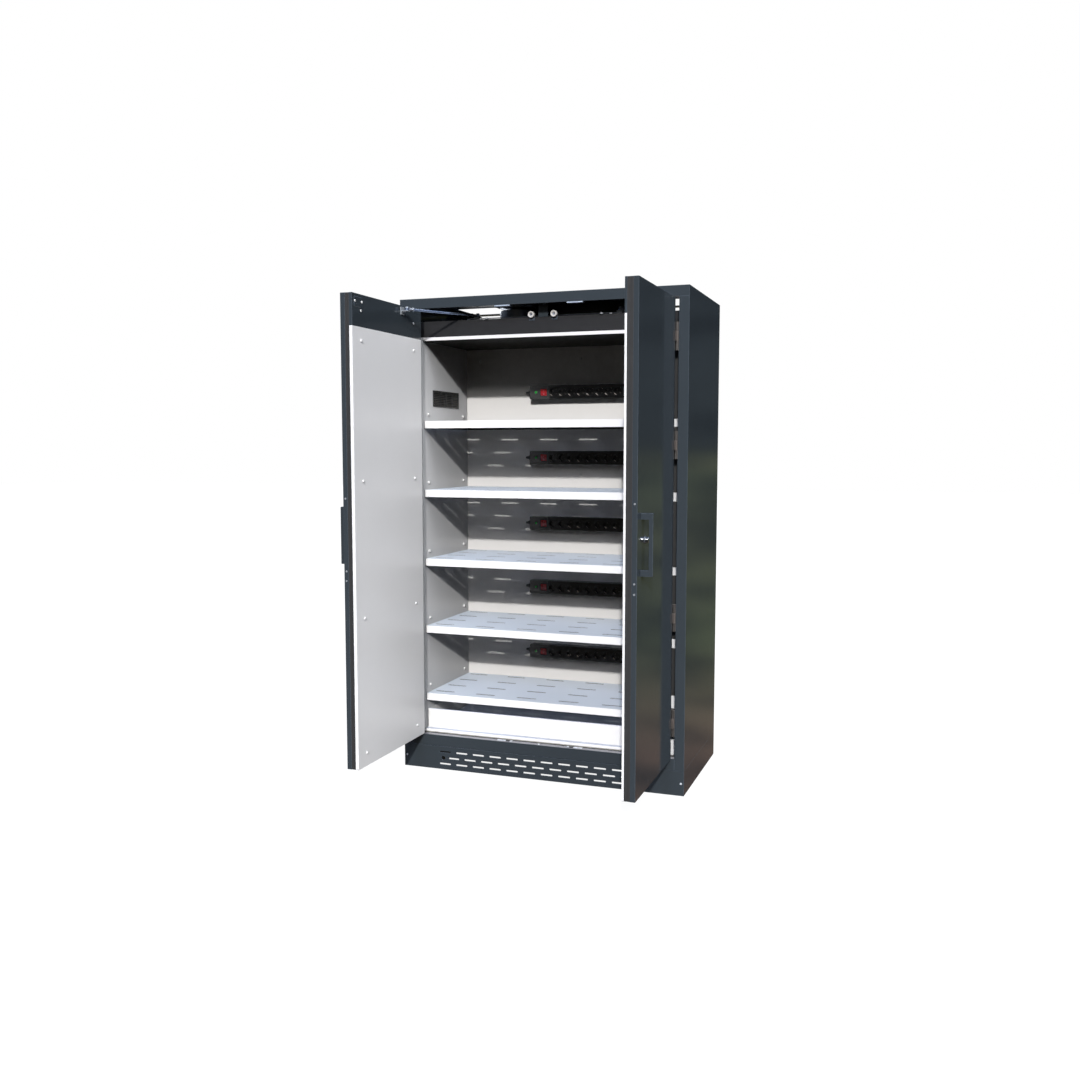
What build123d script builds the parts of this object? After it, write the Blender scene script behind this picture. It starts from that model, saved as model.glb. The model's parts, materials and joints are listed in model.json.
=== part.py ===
"""Two-door fire-resistant charging cabinet for lithium-ion batteries, doors standing open.

Frame: X across the cabinet, Y from front to back, Z up.  The origin is on the floor,
under the middle of the casing.  All lengths are in millimetres.
"""
from build123d import *
from math import atan2, cos, degrees, hypot, radians, sin
import os

os.makedirs("parts", exist_ok=True)

# ---------------------------------------------------------------- driving dimensions
WIDTH = 1193.0
DEPTH = 608.0
HEIGHT = 1933.0
SHEET = 2.0                      # casing and liner sheet
DOOR_SHEET = 1.5

SIDE = WIDTH / 2                 # outer face of a side panel
FRONT = -DEPTH / 2
BACK = DEPTH / 2
SIDE_IN = SIDE - SHEET
FRONT_IN = FRONT + SHEET
BACK_IN = BACK - SHEET
ROOF_IN = HEIGHT - SHEET
BOARD_GAP = 1.0                  # air between insulation boards and sheet

# the tables of places below are written for these two sizes and follow the real ones
TABLE_WIDTH = 1193.0
TABLE_HEIGHT = 1933.0
SPREAD = WIDTH / TABLE_WIDTH
RISE = HEIGHT / TABLE_HEIGHT

PLINTH_TOP = 98.0                # top of the pallet base
SEAM = 1.5                       # visible joint between plinth and rail
RAIL_TOP = PLINTH_TOP + 45.0     # sill in front of the inner box
BEAM_HEIGHT = 40.0
BEAM_BOTTOM = HEIGHT - BEAM_HEIGHT
FLANGE_WIDTH = 38.5              # front flange of a side panel
JAMB_X = SIDE - FLANGE_WIDTH
JAMB_DEPTH = 40.0
REAR_FOLD = 14.5

# inner box
WALL_BUILD = 71.5                # casing, boards and liner together
BACK_BUILD = 101.0
ROOM_SIDE = SIDE - WALL_BUILD    # inner face of a liner wall
ROOM_BACK = BACK - BACK_BUILD
ROOM_FRONT = FRONT + 64.0        # front of ceiling and shelves
RIM_FRONT = FRONT + 50.0         # front returns of the liner walls
RETURN_GAP = 2.0
RETURN_TO = JAMB_X - RETURN_GAP
FLOOR_TOP = RAIL_TOP + 9.5
FLOOR_LIP = 10.0
FASCIA_TOP = HEIGHT - 85.0
CEILING = FASCIA_TOP - 77.0
CEILING_LIP = 13.0
LINER_TOP = CEILING + CEILING_LIP

# doors, given open at a right angle
HINGE_X = JAMB_X - 6.8
HINGE_Y = FRONT - 1.8
DOOR_THICKNESS = 47.5
DOOR_OUTER = HINGE_X - 1.8       # outer face of the open leaf
DOOR_INNER = DOOR_OUTER - DOOR_THICKNESS
MEETING_GAP = 2.0                # from the middle of the cabinet to a closed leaf
DOOR_FREE_EDGE = HINGE_Y - (HINGE_X - MEETING_GAP)
DOOR_OUTER_HEEL = HINGE_Y - 22.2     # hinge-side edge of the outer face
DOOR_INNER_HEEL = HINGE_Y - 0.2      # hinge-side edge of the inner face
DOOR_BOTTOM = RAIL_TOP + 3.4
DOOR_TOP = BEAM_BOTTOM - 8.2
DOOR_SPLIT = CEILING - 3.0       # inner panel below, painted head above
PAINTED_RETURN = 18.0            # outer fold on the free edge
RIGHT_SEAL = 22.0                # width of the strip in the free edge
LEFT_SEAL = 17.5
SEAL_RECESS = 6.0
SEAL_SETBACK = 0.5

HINGE_HEIGHTS = [RISE * z for z in (283.0, 690.0, 1343.0, 1746.0)]
HINGE_LENGTH = 104.0
KNUCKLE_RADIUS = 6.0
HINGE_PIN_RADIUS = 3.0
RUNNING_FIT = 0.05               # radial clearance of every pivot
KNUCKLE_GAP = 0.5
KNUCKLE_LENGTH = 35.0            # the moving middle knuckle
LEAF_THICKNESS = 2.3

# door closer: rod from the door to a slider on a rail above the inner box;
# all its places in plan are measured from the hinge and grow with the leaf
STUD_X = HINGE_X - 70.2 * SPREAD
STUD_Y = HINGE_Y - 163.2 * SPREAD
SLIDER_X = HINGE_X - 250.2 * SPREAD
RAIL_Y = HINGE_Y + 114.8 * SPREAD
GUIDE_ENDS = (HINGE_X - 211.2 * SPREAD, HINGE_X - 517.2 * SPREAD)
ROD_Z = HEIGHT - 63.25
ROD_RADIUS = 4.5
EYE_RADIUS = 9.0
EYE_HEIGHT = 9.5
CLOSER_PIN_RADIUS = 4.0
PIN_CAP_RADIUS = 6.5
PIN_CAP_HEIGHT = 4.0
EYE_GAP = 0.4
GUIDE_Z = FASCIA_TOP + 8.0       # underside of the guide bar
GUIDE_THICKNESS = 3.0
GUIDE_WIDTH = 6.0
GUIDE_POST = 8.0
SLIDER_LENGTH = 24.0
SLIDER_PLAY = 7.5                # sideways room between slider and guide bar
SLIDER_LIFT = 0.6
SLIDER_WALL = 3.5

# shelves and tray
SHELF_TOPS = [RISE * z for z in (1444.0, 1160.0, 872.0, 589.0, 301.0)]
SHELF_SIDE = ROOM_SIDE - 3.0
SHELF_BACK = ROOM_BACK - 8.0
SHELF_LIP = 30.0
SHELF_SHEET = 1.25
SHELF_SLOT = (82.0, 9.0)
SLOT_COLUMNS = 6
SLOT_ROWS = 4
SLOT_END = 62.0                  # from a shelf end to the middle of the last slot
SLOT_FRONT = 50.5                # from a shelf front to the first row
SLOT_BACK = 23.6
SUPPORT_WIDTH = 22.0
SUPPORT_ENDS = (ROOM_FRONT + 20.0, ROOM_BACK - 23.0)
FIXING_RISE = 28.0               # wall screws above each shelf
FIXING_PLACES = (ROOM_FRONT + 41.0, ROOM_BACK - 49.0)
FIXING_RADIUS = 5.5
FIXING_HEIGHT = 4.0
TRAY_SIDE = ROOM_SIDE - 4.0
TRAY_FRONT = ROOM_FRONT + 10.0
TRAY_TOP = FLOOR_TOP + 79.5
TRAY_HEM = 8.0

# power strips
STRIP_RISE = 131.0               # strip centre above its shelf
STRIP_LEFT = -205.0
STRIP_HEIGHT = 58.0
STRIP_FRONT = ROOM_BACK - 45.0
STRIP_CORNER = 2.0
CAP_LENGTH = 88.0
CAP_PROUD = 2.0
SOCKET_PITCH = 41.4
SOCKET_COUNT = 10
SOCKET_RADIUS = 18.5
SOCKET_DEPTH = 14.0
END_MARGIN = 15.0
SWITCH_X = STRIP_LEFT + 64.0
SWITCH_SIZE = (27.0, 29.0)
SWITCH_GAP = 1.2
SWITCH_ROOM = 8.0                # window depth behind the rocker's pivot
SWITCH_TILT = 8.0                # rocker angle either side of its middle
TRUNNION_RADIUS = 1.6
TRUNNION_LENGTH = 3.0
LAMP_X = STRIP_LEFT + 29.0
LAMP_RADIUS = 5.5
LAMP_PROUD = 2.0
GLAND_RADIUS = 5.0
GLAND_LENGTH = 10.0
GLAND_INSET = 18.0               # gland middle from the liner rear wall
CORD_STUB = 4.0
CORD_RADIUS = 3.5


# ---------------------------------------------------------------- small helpers
def block(x_from, x_to, y_from, y_to, z_from, z_to, mode=Mode.ADD):
    """Box between two opposite corners, added to or cut from the part being built."""
    with Locations(((x_from + x_to) / 2, (y_from + y_to) / 2, (z_from + z_to) / 2)):
        Box(abs(x_to - x_from), abs(y_to - y_from), abs(z_to - z_from), mode=mode)


def post(x, y, z_from, z_to, radius, mode=Mode.ADD):
    """Upright cylinder."""
    with Locations((x, y, (z_from + z_to) / 2)):
        Cylinder(radius, z_to - z_from, mode=mode)


def bar_y(x, z, y_from, y_to, radius, mode=Mode.ADD):
    """Cylinder lying front to back."""
    with Locations((x, (y_from + y_to) / 2, z)):
        Cylinder(radius, y_to - y_from, rotation=(90, 0, 0), mode=mode)


def bar_x(y, z, x_from, x_to, radius, mode=Mode.ADD):
    """Cylinder lying across the cabinet."""
    with Locations(((x_from + x_to) / 2, y, z)):
        Cylinder(radius, x_to - x_from, rotation=(0, 90, 0), mode=mode)


def save(piece, name):
    """Label a finished piece and write it to its own file."""
    piece.part.label = name
    export_step(piece.part, f"parts/{name}.step")


def save_mirrored(piece, name):
    """Write the left-hand twin of a right-hand piece."""
    with BuildPart() as twin:
        add(mirror(piece.part, about=Plane.YZ, mode=Mode.PRIVATE))
    save(twin, name)


def save_pair(piece, name):
    """Write a right-hand piece and its left-hand twin."""
    save(piece, f"{name}_right")
    save_mirrored(piece, f"{name}_left")


# ---------------------------------------------------------------- casing
def side_panels():
    """Outer side sheet with the front flange, jamb fold and rear fold."""
    with BuildPart() as panel:
        block(SIDE_IN, SIDE, FRONT_IN, BACK, PLINTH_TOP, HEIGHT)
        block(JAMB_X, SIDE, FRONT, FRONT_IN, PLINTH_TOP, BEAM_BOTTOM)
        block(JAMB_X, JAMB_X + SHEET, FRONT_IN, FRONT_IN + JAMB_DEPTH, PLINTH_TOP, BEAM_BOTTOM)
        block(SIDE_IN - REAR_FOLD, SIDE_IN, BACK_IN, BACK, PLINTH_TOP, ROOF_IN)
    save_pair(panel, "side_panel")


REAR_SIDE = SIDE_IN - REAR_FOLD
REAR_NOTCH = (REAR_SIDE - 200.0, REAR_SIDE - 60.0)
REAR_NOTCH_HEIGHT = 12.0
RIB_DEPTH = 1.5
RIB_WIDTH = 24.0
RIB_PLACES = [SPREAD * x for x in (-435.0, -145.0, 145.0, 435.0)]
RIB_ENDS = (PLINTH_TOP + 72.0, FASCIA_TOP - 48.0)


def rear_panel():
    """Rear sheet with pressed upright ribs and two cable notches under the roof."""
    with BuildPart() as panel:
        block(-REAR_SIDE, REAR_SIDE, BACK_IN, BACK, PLINTH_TOP, ROOF_IN)
        for x in RIB_PLACES:
            across = (x - RIB_WIDTH / 2, x + RIB_WIDTH / 2)
            block(*across, BACK - RIB_DEPTH, BACK, *RIB_ENDS, mode=Mode.SUBTRACT)
        for side in (-1, 1):
            notch = (side * REAR_NOTCH[0], side * REAR_NOTCH[1], BACK_IN, BACK)
            block(*notch, ROOF_IN - REAR_NOTCH_HEIGHT, ROOF_IN, mode=Mode.SUBTRACT)
    save(panel, "rear_panel")


ROOF_PORT_X = (SIDE - 280.5, SIDE - 96.5)
ROOF_PORT_Y = (BACK - 264.0, BACK - 58.0)
PORT_CORNER = 12.0
DUCT_X = 56.0 - ROOF_PORT_X[0]
DUCT_Y = BACK - 154.0
DRUM_RADIUS = 75.0
DRUM_BOTTOM = FASCIA_TOP + SHEET
DRUM_TOP = ROOF_IN - 6.0
SPIGOT_RADIUS = 37.5
SPIGOT_RISE = 40.0
SPIGOT_FLANGE = 50.0


def roof_panel():
    """Roof sheet with two service ports and the hole for the exhaust spigot."""
    with BuildPart() as panel:
        block(-SIDE_IN, SIDE_IN, FRONT_IN, BACK, ROOF_IN, HEIGHT)
        with BuildSketch(Plane.XY.offset(ROOF_IN)):
            middle_x = (ROOF_PORT_X[0] + ROOF_PORT_X[1]) / 2
            middle_y = (ROOF_PORT_Y[0] + ROOF_PORT_Y[1]) / 2
            with Locations((-middle_x, middle_y), (middle_x, middle_y)):
                length_x = ROOF_PORT_X[1] - ROOF_PORT_X[0]
                length_y = ROOF_PORT_Y[1] - ROOF_PORT_Y[0]
                RectangleRounded(length_x, length_y, PORT_CORNER)
            with Locations((DUCT_X, DUCT_Y)):
                Circle(SPIGOT_RADIUS + BOARD_GAP)
        extrude(amount=SHEET, mode=Mode.SUBTRACT)
    save(panel, "roof_panel")


POST_WIDTH = 39.0
BEAM_LIP = 16.0


def top_beam():
    """Folded beam over the doors with the bracket that drops to the inner box."""
    lip_y = FRONT_IN + JAMB_DEPTH
    with BuildPart() as beam:
        block(-SIDE, SIDE, FRONT, FRONT_IN, BEAM_BOTTOM, HEIGHT)
        block(-SIDE_IN, SIDE_IN, FRONT_IN, lip_y, BEAM_BOTTOM, BEAM_BOTTOM + SHEET)
        lip_top = BEAM_BOTTOM + SHEET + BEAM_LIP
        block(-SIDE_IN, SIDE_IN, lip_y - SHEET, lip_y, BEAM_BOTTOM + SHEET, lip_top)
        strap = (-POST_WIDTH / 2, POST_WIDTH / 2)
        block(*strap, lip_y, ROOM_FRONT, lip_top - SHEET, lip_top)
        block(*strap, ROOM_FRONT - SHEET, ROOM_FRONT, FASCIA_TOP, lip_top - SHEET)
    save(beam, "top_beam")


CHANNEL_FLANGE = 36.0
TIE_WIDTH = 60.0
TIE_THICKNESS = 3.0
CHASSIS_PLATE = 3.0
CROSS_BEAM = (22.0, 12.0)
FOOT_PLACES = (SIDE - 61.5, BACK - 42.0)
FOOT_RADIUS = 20.0
FOOT_HEIGHT = 8.0
STEM_RADIUS = 6.0
BLANK_SLOT = (-440.0, -383.0)    # plates that close a slot and the keyhole from behind
BLANK_HOLE = (-440.0, -402.0)
BLANK_SPLIT = 66.0
BLANK_BOTTOM = 36.0


def base_frame():
    """Pallet base: two side channels, a chassis plate, cross beams and a floor tie."""
    inner = SIDE_IN - CHANNEL_FLANGE
    with BuildPart() as base:
        block(-SIDE_IN, SIDE_IN, FRONT_IN, BACK, PLINTH_TOP - CHASSIS_PLATE, PLINTH_TOP)
        for side in (-1, 1):
            block(side * SIDE_IN, side * SIDE, FRONT_IN, BACK, 0, PLINTH_TOP)
            block(side * inner, side * SIDE_IN, FRONT_IN, BACK, 0, TIE_THICKNESS)
        block(-inner, inner, -TIE_WIDTH / 2, TIE_WIDTH / 2, 0, TIE_THICKNESS)
        beam_z = PLINTH_TOP - CHASSIS_PLATE - CROSS_BEAM[1]
        for y in (FRONT_IN, BACK - CROSS_BEAM[0]):
            block(-SIDE_IN, SIDE_IN, y, y + CROSS_BEAM[0], beam_z, PLINTH_TOP - CHASSIS_PLATE)
        plate = (FRONT_IN, FRONT_IN + CROSS_BEAM[0])
        block(*BLANK_SLOT, *plate, BLANK_SPLIT, beam_z)
        block(*BLANK_HOLE, *plate, BLANK_BOTTOM, BLANK_SPLIT)
    save(base, "base_frame")


def levelling_feet():
    """Four screw feet that carry the chassis plate."""
    with BuildPart() as feet:
        for x in (-FOOT_PLACES[0], FOOT_PLACES[0]):
            for y in (-FOOT_PLACES[1], FOOT_PLACES[1]):
                post(x, y, 0, FOOT_HEIGHT, FOOT_RADIUS)
                post(x, y, FOOT_HEIGHT, PLINTH_TOP - CHASSIS_PLATE, STEM_RADIUS)
    save(feet, "levelling_feet")


PLINTH_SLOT = (50.0, 6.5)
PLINTH_SLOT_PITCH = 74.4
PLINTH_ROW_HEIGHTS = (23.5, 48.5, 74.0)
PLINTH_ROW_COUNTS = (12, 11, 12)
PLINTH_HOLE = (-418.0, 48.0, 8.5)
PLINTH_SCREW_X = SIDE - 11.5
PLINTH_SCREW_RADIUS = 4.5
SCREW_PROUD = 1.5


def plinth_panel():
    """Removable plinth cover with three rows of slots and a keyhole."""
    with BuildPart() as cover:
        block(-SIDE, SIDE, FRONT, FRONT_IN, 0, PLINTH_TOP - SEAM)
        with BuildSketch(Plane.XZ.offset(-FRONT_IN)):
            for z, count in zip(PLINTH_ROW_HEIGHTS, PLINTH_ROW_COUNTS):
                with Locations((0, z)):
                    with GridLocations(PLINTH_SLOT_PITCH, 1, count, 1):
                        SlotOverall(*PLINTH_SLOT)
            with Locations(PLINTH_HOLE[:2]):
                Circle(PLINTH_HOLE[2])
        extrude(amount=SHEET, mode=Mode.SUBTRACT)
        for side in (-1, 1):
            head = (FRONT - SCREW_PROUD, FRONT, PLINTH_SCREW_RADIUS)
            bar_y(side * PLINTH_SCREW_X, PLINTH_HOLE[1], *head)
    save(cover, "plinth_panel")


SILL_DEPTH = 23.0


def bottom_rail():
    """Folded rail under the doors."""
    lip = FRONT_IN + SILL_DEPTH
    with BuildPart() as rail:
        block(-JAMB_X, JAMB_X, FRONT, FRONT_IN, PLINTH_TOP, RAIL_TOP)
        block(-JAMB_X, JAMB_X, FRONT_IN, lip, RAIL_TOP - SHEET, RAIL_TOP)
        block(-JAMB_X, JAMB_X, lip - SHEET, lip, PLINTH_TOP, RAIL_TOP - SHEET)
    save(rail, "bottom_rail")


SEAL_THICKNESS = 2.0
SEAL_STRIP = (ROOM_SIDE + 8.0, ROOM_SIDE + 24.0)
SILL_SEAL = (RAIL_TOP - 7.0, RAIL_TOP - 3.0)
SEAL_STARTS = [RISE * z for z in (213.0, 378.0, 600.0, 878.0, 1164.0, 1443.0)]
SEAL_ENDS = [RISE * z for z in (328.0, 564.0, 846.0, 1130.0, 1413.0)] + [LINER_TOP]


def frame_seals():
    """Dark heat-swelling strips on the sill and on both uprights of the opening."""
    sill_y = FRONT_IN + SILL_DEPTH
    with BuildPart() as seals:
        block(-SEAL_STRIP[1], SEAL_STRIP[1], sill_y, RIM_FRONT - SHEET, *SILL_SEAL)
        for start, end in zip(SEAL_STARTS, SEAL_ENDS):
            for side in (-1, 1):
                strip = (side * SEAL_STRIP[0], side * SEAL_STRIP[1])
                block(*strip, RIM_FRONT - SEAL_THICKNESS, RIM_FRONT, start, end)
    save(seals, "frame_seals")


def exhaust_duct():
    """Round air drum in the head compartment with its spigot through the roof."""
    with BuildPart() as duct:
        post(DUCT_X, DUCT_Y, DRUM_BOTTOM, DRUM_TOP, DRUM_RADIUS)
        post(DUCT_X, DUCT_Y, DRUM_TOP, HEIGHT + SPIGOT_RISE, SPIGOT_RADIUS)
        post(DUCT_X, DUCT_Y, HEIGHT, HEIGHT + SHEET, SPIGOT_FLANGE)
        hollow = (DRUM_BOTTOM + SHEET, DRUM_TOP - SHEET)
        post(DUCT_X, DUCT_Y, *hollow, DRUM_RADIUS - SHEET, mode=Mode.SUBTRACT)
        bore = (hollow[1], HEIGHT + SPIGOT_RISE)
        post(DUCT_X, DUCT_Y, *bore, SPIGOT_RADIUS - SHEET, mode=Mode.SUBTRACT)
        post(DUCT_X, DUCT_Y, FASCIA_TOP, DRUM_BOTTOM, DRUM_RADIUS / 2)
    save(duct, "exhaust_duct")


# ---------------------------------------------------------------- inner box
GRILLE_Y = (ROOM_FRONT + 86.0, ROOM_BACK - 100.0)
GRILLE_Z = (SHELF_TOPS[0] + 63.0, SHELF_TOPS[0] + 131.0)
GRILLE_SHAFT = 30.0
GRILLE_BORDER = 5.0
GRILLE_PROUD = 3.0
GRILLE_COLUMNS = 4
GRILLE_ROWS = 8
BLADE = 3.0


def inner_walls():
    """Liner walls with a front return and the opening behind each grille."""
    back = ROOM_BACK + SHEET
    with BuildPart() as wall:
        block(ROOM_SIDE, ROOM_SIDE + SHEET, RIM_FRONT + SHEET, back, RAIL_TOP, LINER_TOP)
        block(ROOM_SIDE, RETURN_TO, RIM_FRONT, RIM_FRONT + SHEET, RAIL_TOP, LINER_TOP)
        hole_y = (GRILLE_Y[0] + GRILLE_BORDER, GRILLE_Y[1] - GRILLE_BORDER)
        hole_z = (GRILLE_Z[0] + GRILLE_BORDER, GRILLE_Z[1] - GRILLE_BORDER)
        block(ROOM_SIDE, ROOM_SIDE + SHEET, *hole_y, *hole_z, mode=Mode.SUBTRACT)
    save_pair(wall, "inner_wall")


def inner_back():
    """Liner rear wall."""
    with BuildPart() as wall:
        span = (ROOM_BACK, ROOM_BACK + SHEET, FLOOR_TOP - SHEET, CEILING)
        block(-ROOM_SIDE, ROOM_SIDE, *span)
    save(wall, "inner_back")


def inner_ceiling():
    """Liner ceiling with its white front edge."""
    with BuildPart() as ceiling:
        block(-ROOM_SIDE, ROOM_SIDE, ROOM_FRONT, ROOM_BACK + SHEET, CEILING, CEILING + SHEET)
        block(-ROOM_SIDE, ROOM_SIDE, ROOM_FRONT - SHEET, ROOM_FRONT, CEILING, LINER_TOP)
    save(ceiling, "inner_ceiling")


def inner_floor():
    """Liner floor with its front lip."""
    with BuildPart() as floor:
        block(-ROOM_SIDE, ROOM_SIDE, RIM_FRONT, ROOM_BACK, FLOOR_TOP - SHEET, FLOOR_TOP)
        lip = (RIM_FRONT, RIM_FRONT + SHEET, FLOOR_TOP - FLOOR_LIP, FLOOR_TOP - SHEET)
        block(-ROOM_SIDE, ROOM_SIDE, *lip)
    save(floor, "inner_floor")


def fascia():
    """Dark band above the ceiling edge and the cover plate over the inner box."""
    cover_side = SIDE_IN - BOARD_GAP
    with BuildPart() as band:
        block(-RETURN_TO, RETURN_TO, ROOM_FRONT, ROOM_FRONT + SHEET, LINER_TOP, FASCIA_TOP)
        plate = (ROOM_FRONT + SHEET, BACK_IN - BOARD_GAP, FASCIA_TOP - SHEET, FASCIA_TOP)
        block(-cover_side, cover_side, *plate)
    save(band, "fascia")


def insulation():
    """Fire-resistant boards between the casing and the liner."""
    board_top = FASCIA_TOP - SHEET - BOARD_GAP
    room = ROOM_SIDE + SHEET
    with BuildPart() as sides:
        for side in (-1, 1):
            across = (side * (room + BOARD_GAP), side * (SIDE_IN - BOARD_GAP))
            depth = (ROOM_FRONT + SHEET + BOARD_GAP, BACK_IN - BOARD_GAP)
            block(*across, *depth, PLINTH_TOP, board_top)
            shaft = (side * (room + BOARD_GAP), side * (room + GRILLE_SHAFT))
            block(*shaft, *GRILLE_Y, *GRILLE_Z, mode=Mode.SUBTRACT)
    save(sides, "insulation_sides")
    with BuildPart() as back:
        depth = (ROOM_BACK + SHEET + BOARD_GAP, BACK_IN - BOARD_GAP)
        block(-room, room, *depth, PLINTH_TOP, board_top)
    save(back, "insulation_back")
    with BuildPart() as level:
        depth = (ROOM_FRONT + SHEET + BOARD_GAP, ROOM_BACK)
        block(-room + SHEET, room - SHEET, *depth, CEILING + SHEET, board_top)
        under = (PLINTH_TOP, FLOOR_TOP - SHEET)
        block(-room + SHEET, room - SHEET, RIM_FRONT + 2 * SHEET, ROOM_BACK, *under)
    save(level, "insulation_top_and_floor")


def vent_grilles():
    """Black louvred grille on each liner wall."""
    length = GRILLE_Y[1] - GRILLE_Y[0] - 2 * GRILLE_BORDER
    height = GRILLE_Z[1] - GRILLE_Z[0] - 2 * GRILLE_BORDER
    cell = (length / GRILLE_COLUMNS, height / GRILLE_ROWS)
    middle_y = sum(GRILLE_Y) / 2
    middle_z = sum(GRILLE_Z) / 2
    with BuildPart() as grilles:
        for side in (-1, 1):
            block(side * (ROOM_SIDE - GRILLE_PROUD), side * ROOM_SIDE, *GRILLE_Y, *GRILLE_Z)
        with Locations((0, middle_y, middle_z)):
            with GridLocations(1, cell[0], 1, GRILLE_COLUMNS):
                with Locations(*[(0, 0, (row - (GRILLE_ROWS - 1) / 2) * cell[1])
                                 for row in range(GRILLE_ROWS)]):
                    Box(WIDTH, cell[0] - BLADE, cell[1] - BLADE, mode=Mode.SUBTRACT)
    save(grilles, "vent_grilles")


# ---------------------------------------------------------------- shelves and tray
def shelf(number, top):
    """Pressed shelf: slotted sheet with a lip folded down on all four sides."""
    with BuildPart() as tray:
        block(-SHELF_SIDE, SHELF_SIDE, ROOM_FRONT, SHELF_BACK, top - SHELF_LIP, top)
        inside = (-SHELF_SIDE + SHELF_SHEET, SHELF_SIDE - SHELF_SHEET,
                  ROOM_FRONT + SHELF_SHEET, SHELF_BACK - SHELF_SHEET)
        block(*inside, top - SHELF_LIP, top - SHELF_SHEET, mode=Mode.SUBTRACT)
        with BuildSketch(Plane.XY.offset(top - SHELF_SHEET)):
            pitch_x = 2 * (SHELF_SIDE - SLOT_END) / (SLOT_COLUMNS - 1)
            rows = (ROOM_FRONT + SLOT_FRONT, SHELF_BACK - SLOT_BACK)
            pitch_y = (rows[1] - rows[0]) / (SLOT_ROWS - 1)
            with Locations((0, sum(rows) / 2)):
                with GridLocations(pitch_x, pitch_y, SLOT_COLUMNS, SLOT_ROWS):
                    SlotOverall(*SHELF_SLOT)
        extrude(amount=SHELF_SHEET, mode=Mode.SUBTRACT)
    save(tray, f"shelf_{number}")


def shelf_supports():
    """Angles under the shelf ends and the dome screws above them."""
    with BuildPart() as fixings:
        for top in SHELF_TOPS:
            for side in (-1, 1):
                seat = top - SHELF_LIP
                run = SUPPORT_ENDS
                wall = (side * (ROOM_SIDE - SHEET), side * ROOM_SIDE)
                block(*wall, *run, seat - SHEET, seat + SHELF_LIP / 2)
                ledge = (side * (ROOM_SIDE - SUPPORT_WIDTH), side * (ROOM_SIDE - SHEET))
                block(*ledge, *run, seat - SHEET, seat)
                for y in FIXING_PLACES:
                    head = sorted((side * ROOM_SIDE, side * (ROOM_SIDE - FIXING_HEIGHT)))
                    bar_x(y, top + FIXING_RISE, *head, FIXING_RADIUS)
    save(fixings, "shelf_supports")


def sump_tray():
    """Leak tray standing on the liner floor."""
    with BuildPart() as tray:
        block(-TRAY_SIDE, TRAY_SIDE, TRAY_FRONT, SHELF_BACK, FLOOR_TOP, TRAY_TOP)
        inside = (-TRAY_SIDE + SHEET, TRAY_SIDE - SHEET, TRAY_FRONT + SHEET, SHELF_BACK - SHEET)
        block(*inside, FLOOR_TOP + SHEET, TRAY_TOP, mode=Mode.SUBTRACT)
        hem = (TRAY_FRONT + SHEET, TRAY_FRONT + SHEET + TRAY_HEM, TRAY_TOP - SHEET, TRAY_TOP)
        block(-TRAY_SIDE + SHEET, TRAY_SIDE - SHEET, *hem)
    save(tray, "sump_tray")


# ---------------------------------------------------------------- power strips
STRIP_BODY_LEFT = STRIP_LEFT + CAP_LENGTH
STRIP_RIGHT = STRIP_BODY_LEFT + SOCKET_COUNT * SOCKET_PITCH + END_MARGIN
CAP_FRONT = STRIP_FRONT - CAP_PROUD
ROCKER_PIVOT_Y = CAP_FRONT + 5.0
ROCKER_PROFILE = ((-6.0, 0.0), (-4.0, 14.5), (4.0, 12.0), (4.0, -12.0), (-4.0, -14.5))


def power_strip(number, centre):
    """Strip housing with its control end, cable gland and round socket wells."""
    half = STRIP_HEIGHT / 2
    with BuildPart() as strip:
        block(STRIP_BODY_LEFT, STRIP_RIGHT, STRIP_FRONT, ROOM_BACK, centre - half, centre + half)
        block(STRIP_LEFT, STRIP_BODY_LEFT, CAP_FRONT, ROOM_BACK, centre - half, centre + half)
        edges = strip.edges().filter_by(Axis.Y).group_by(Axis.X)
        fillet(edges[0] + edges[-1], radius=STRIP_CORNER)
        middle_x = STRIP_BODY_LEFT + SOCKET_COUNT * SOCKET_PITCH / 2
        for column in range(SOCKET_COUNT):
            x = middle_x + (column - (SOCKET_COUNT - 1) / 2) * SOCKET_PITCH
            well = (STRIP_FRONT, STRIP_FRONT + SOCKET_DEPTH)
            bar_y(x, centre, *well, SOCKET_RADIUS, mode=Mode.SUBTRACT)
        wide = SWITCH_SIZE[0] / 2 + SWITCH_GAP
        tall = SWITCH_SIZE[1] / 2 + SWITCH_GAP
        window = (CAP_FRONT, ROCKER_PIVOT_Y + SWITCH_ROOM, centre - tall, centre + tall)
        block(SWITCH_X - wide, SWITCH_X + wide, *window, mode=Mode.SUBTRACT)
        reach = SWITCH_SIZE[0] / 2 + TRUNNION_LENGTH + SWITCH_GAP
        seat = (SWITCH_X - reach, SWITCH_X + reach, TRUNNION_RADIUS + RUNNING_FIT)
        bar_x(ROCKER_PIVOT_Y, centre, *seat, mode=Mode.SUBTRACT)
        gland_y = ROOM_BACK - GLAND_INSET
        gland_end = STRIP_LEFT - GLAND_LENGTH
        bar_x(gland_y, centre, gland_end, STRIP_LEFT, GLAND_RADIUS)
        bar_x(gland_y, centre, gland_end - CORD_STUB, gland_end, CORD_RADIUS)
    save(strip, f"power_strip_{number}")


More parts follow.
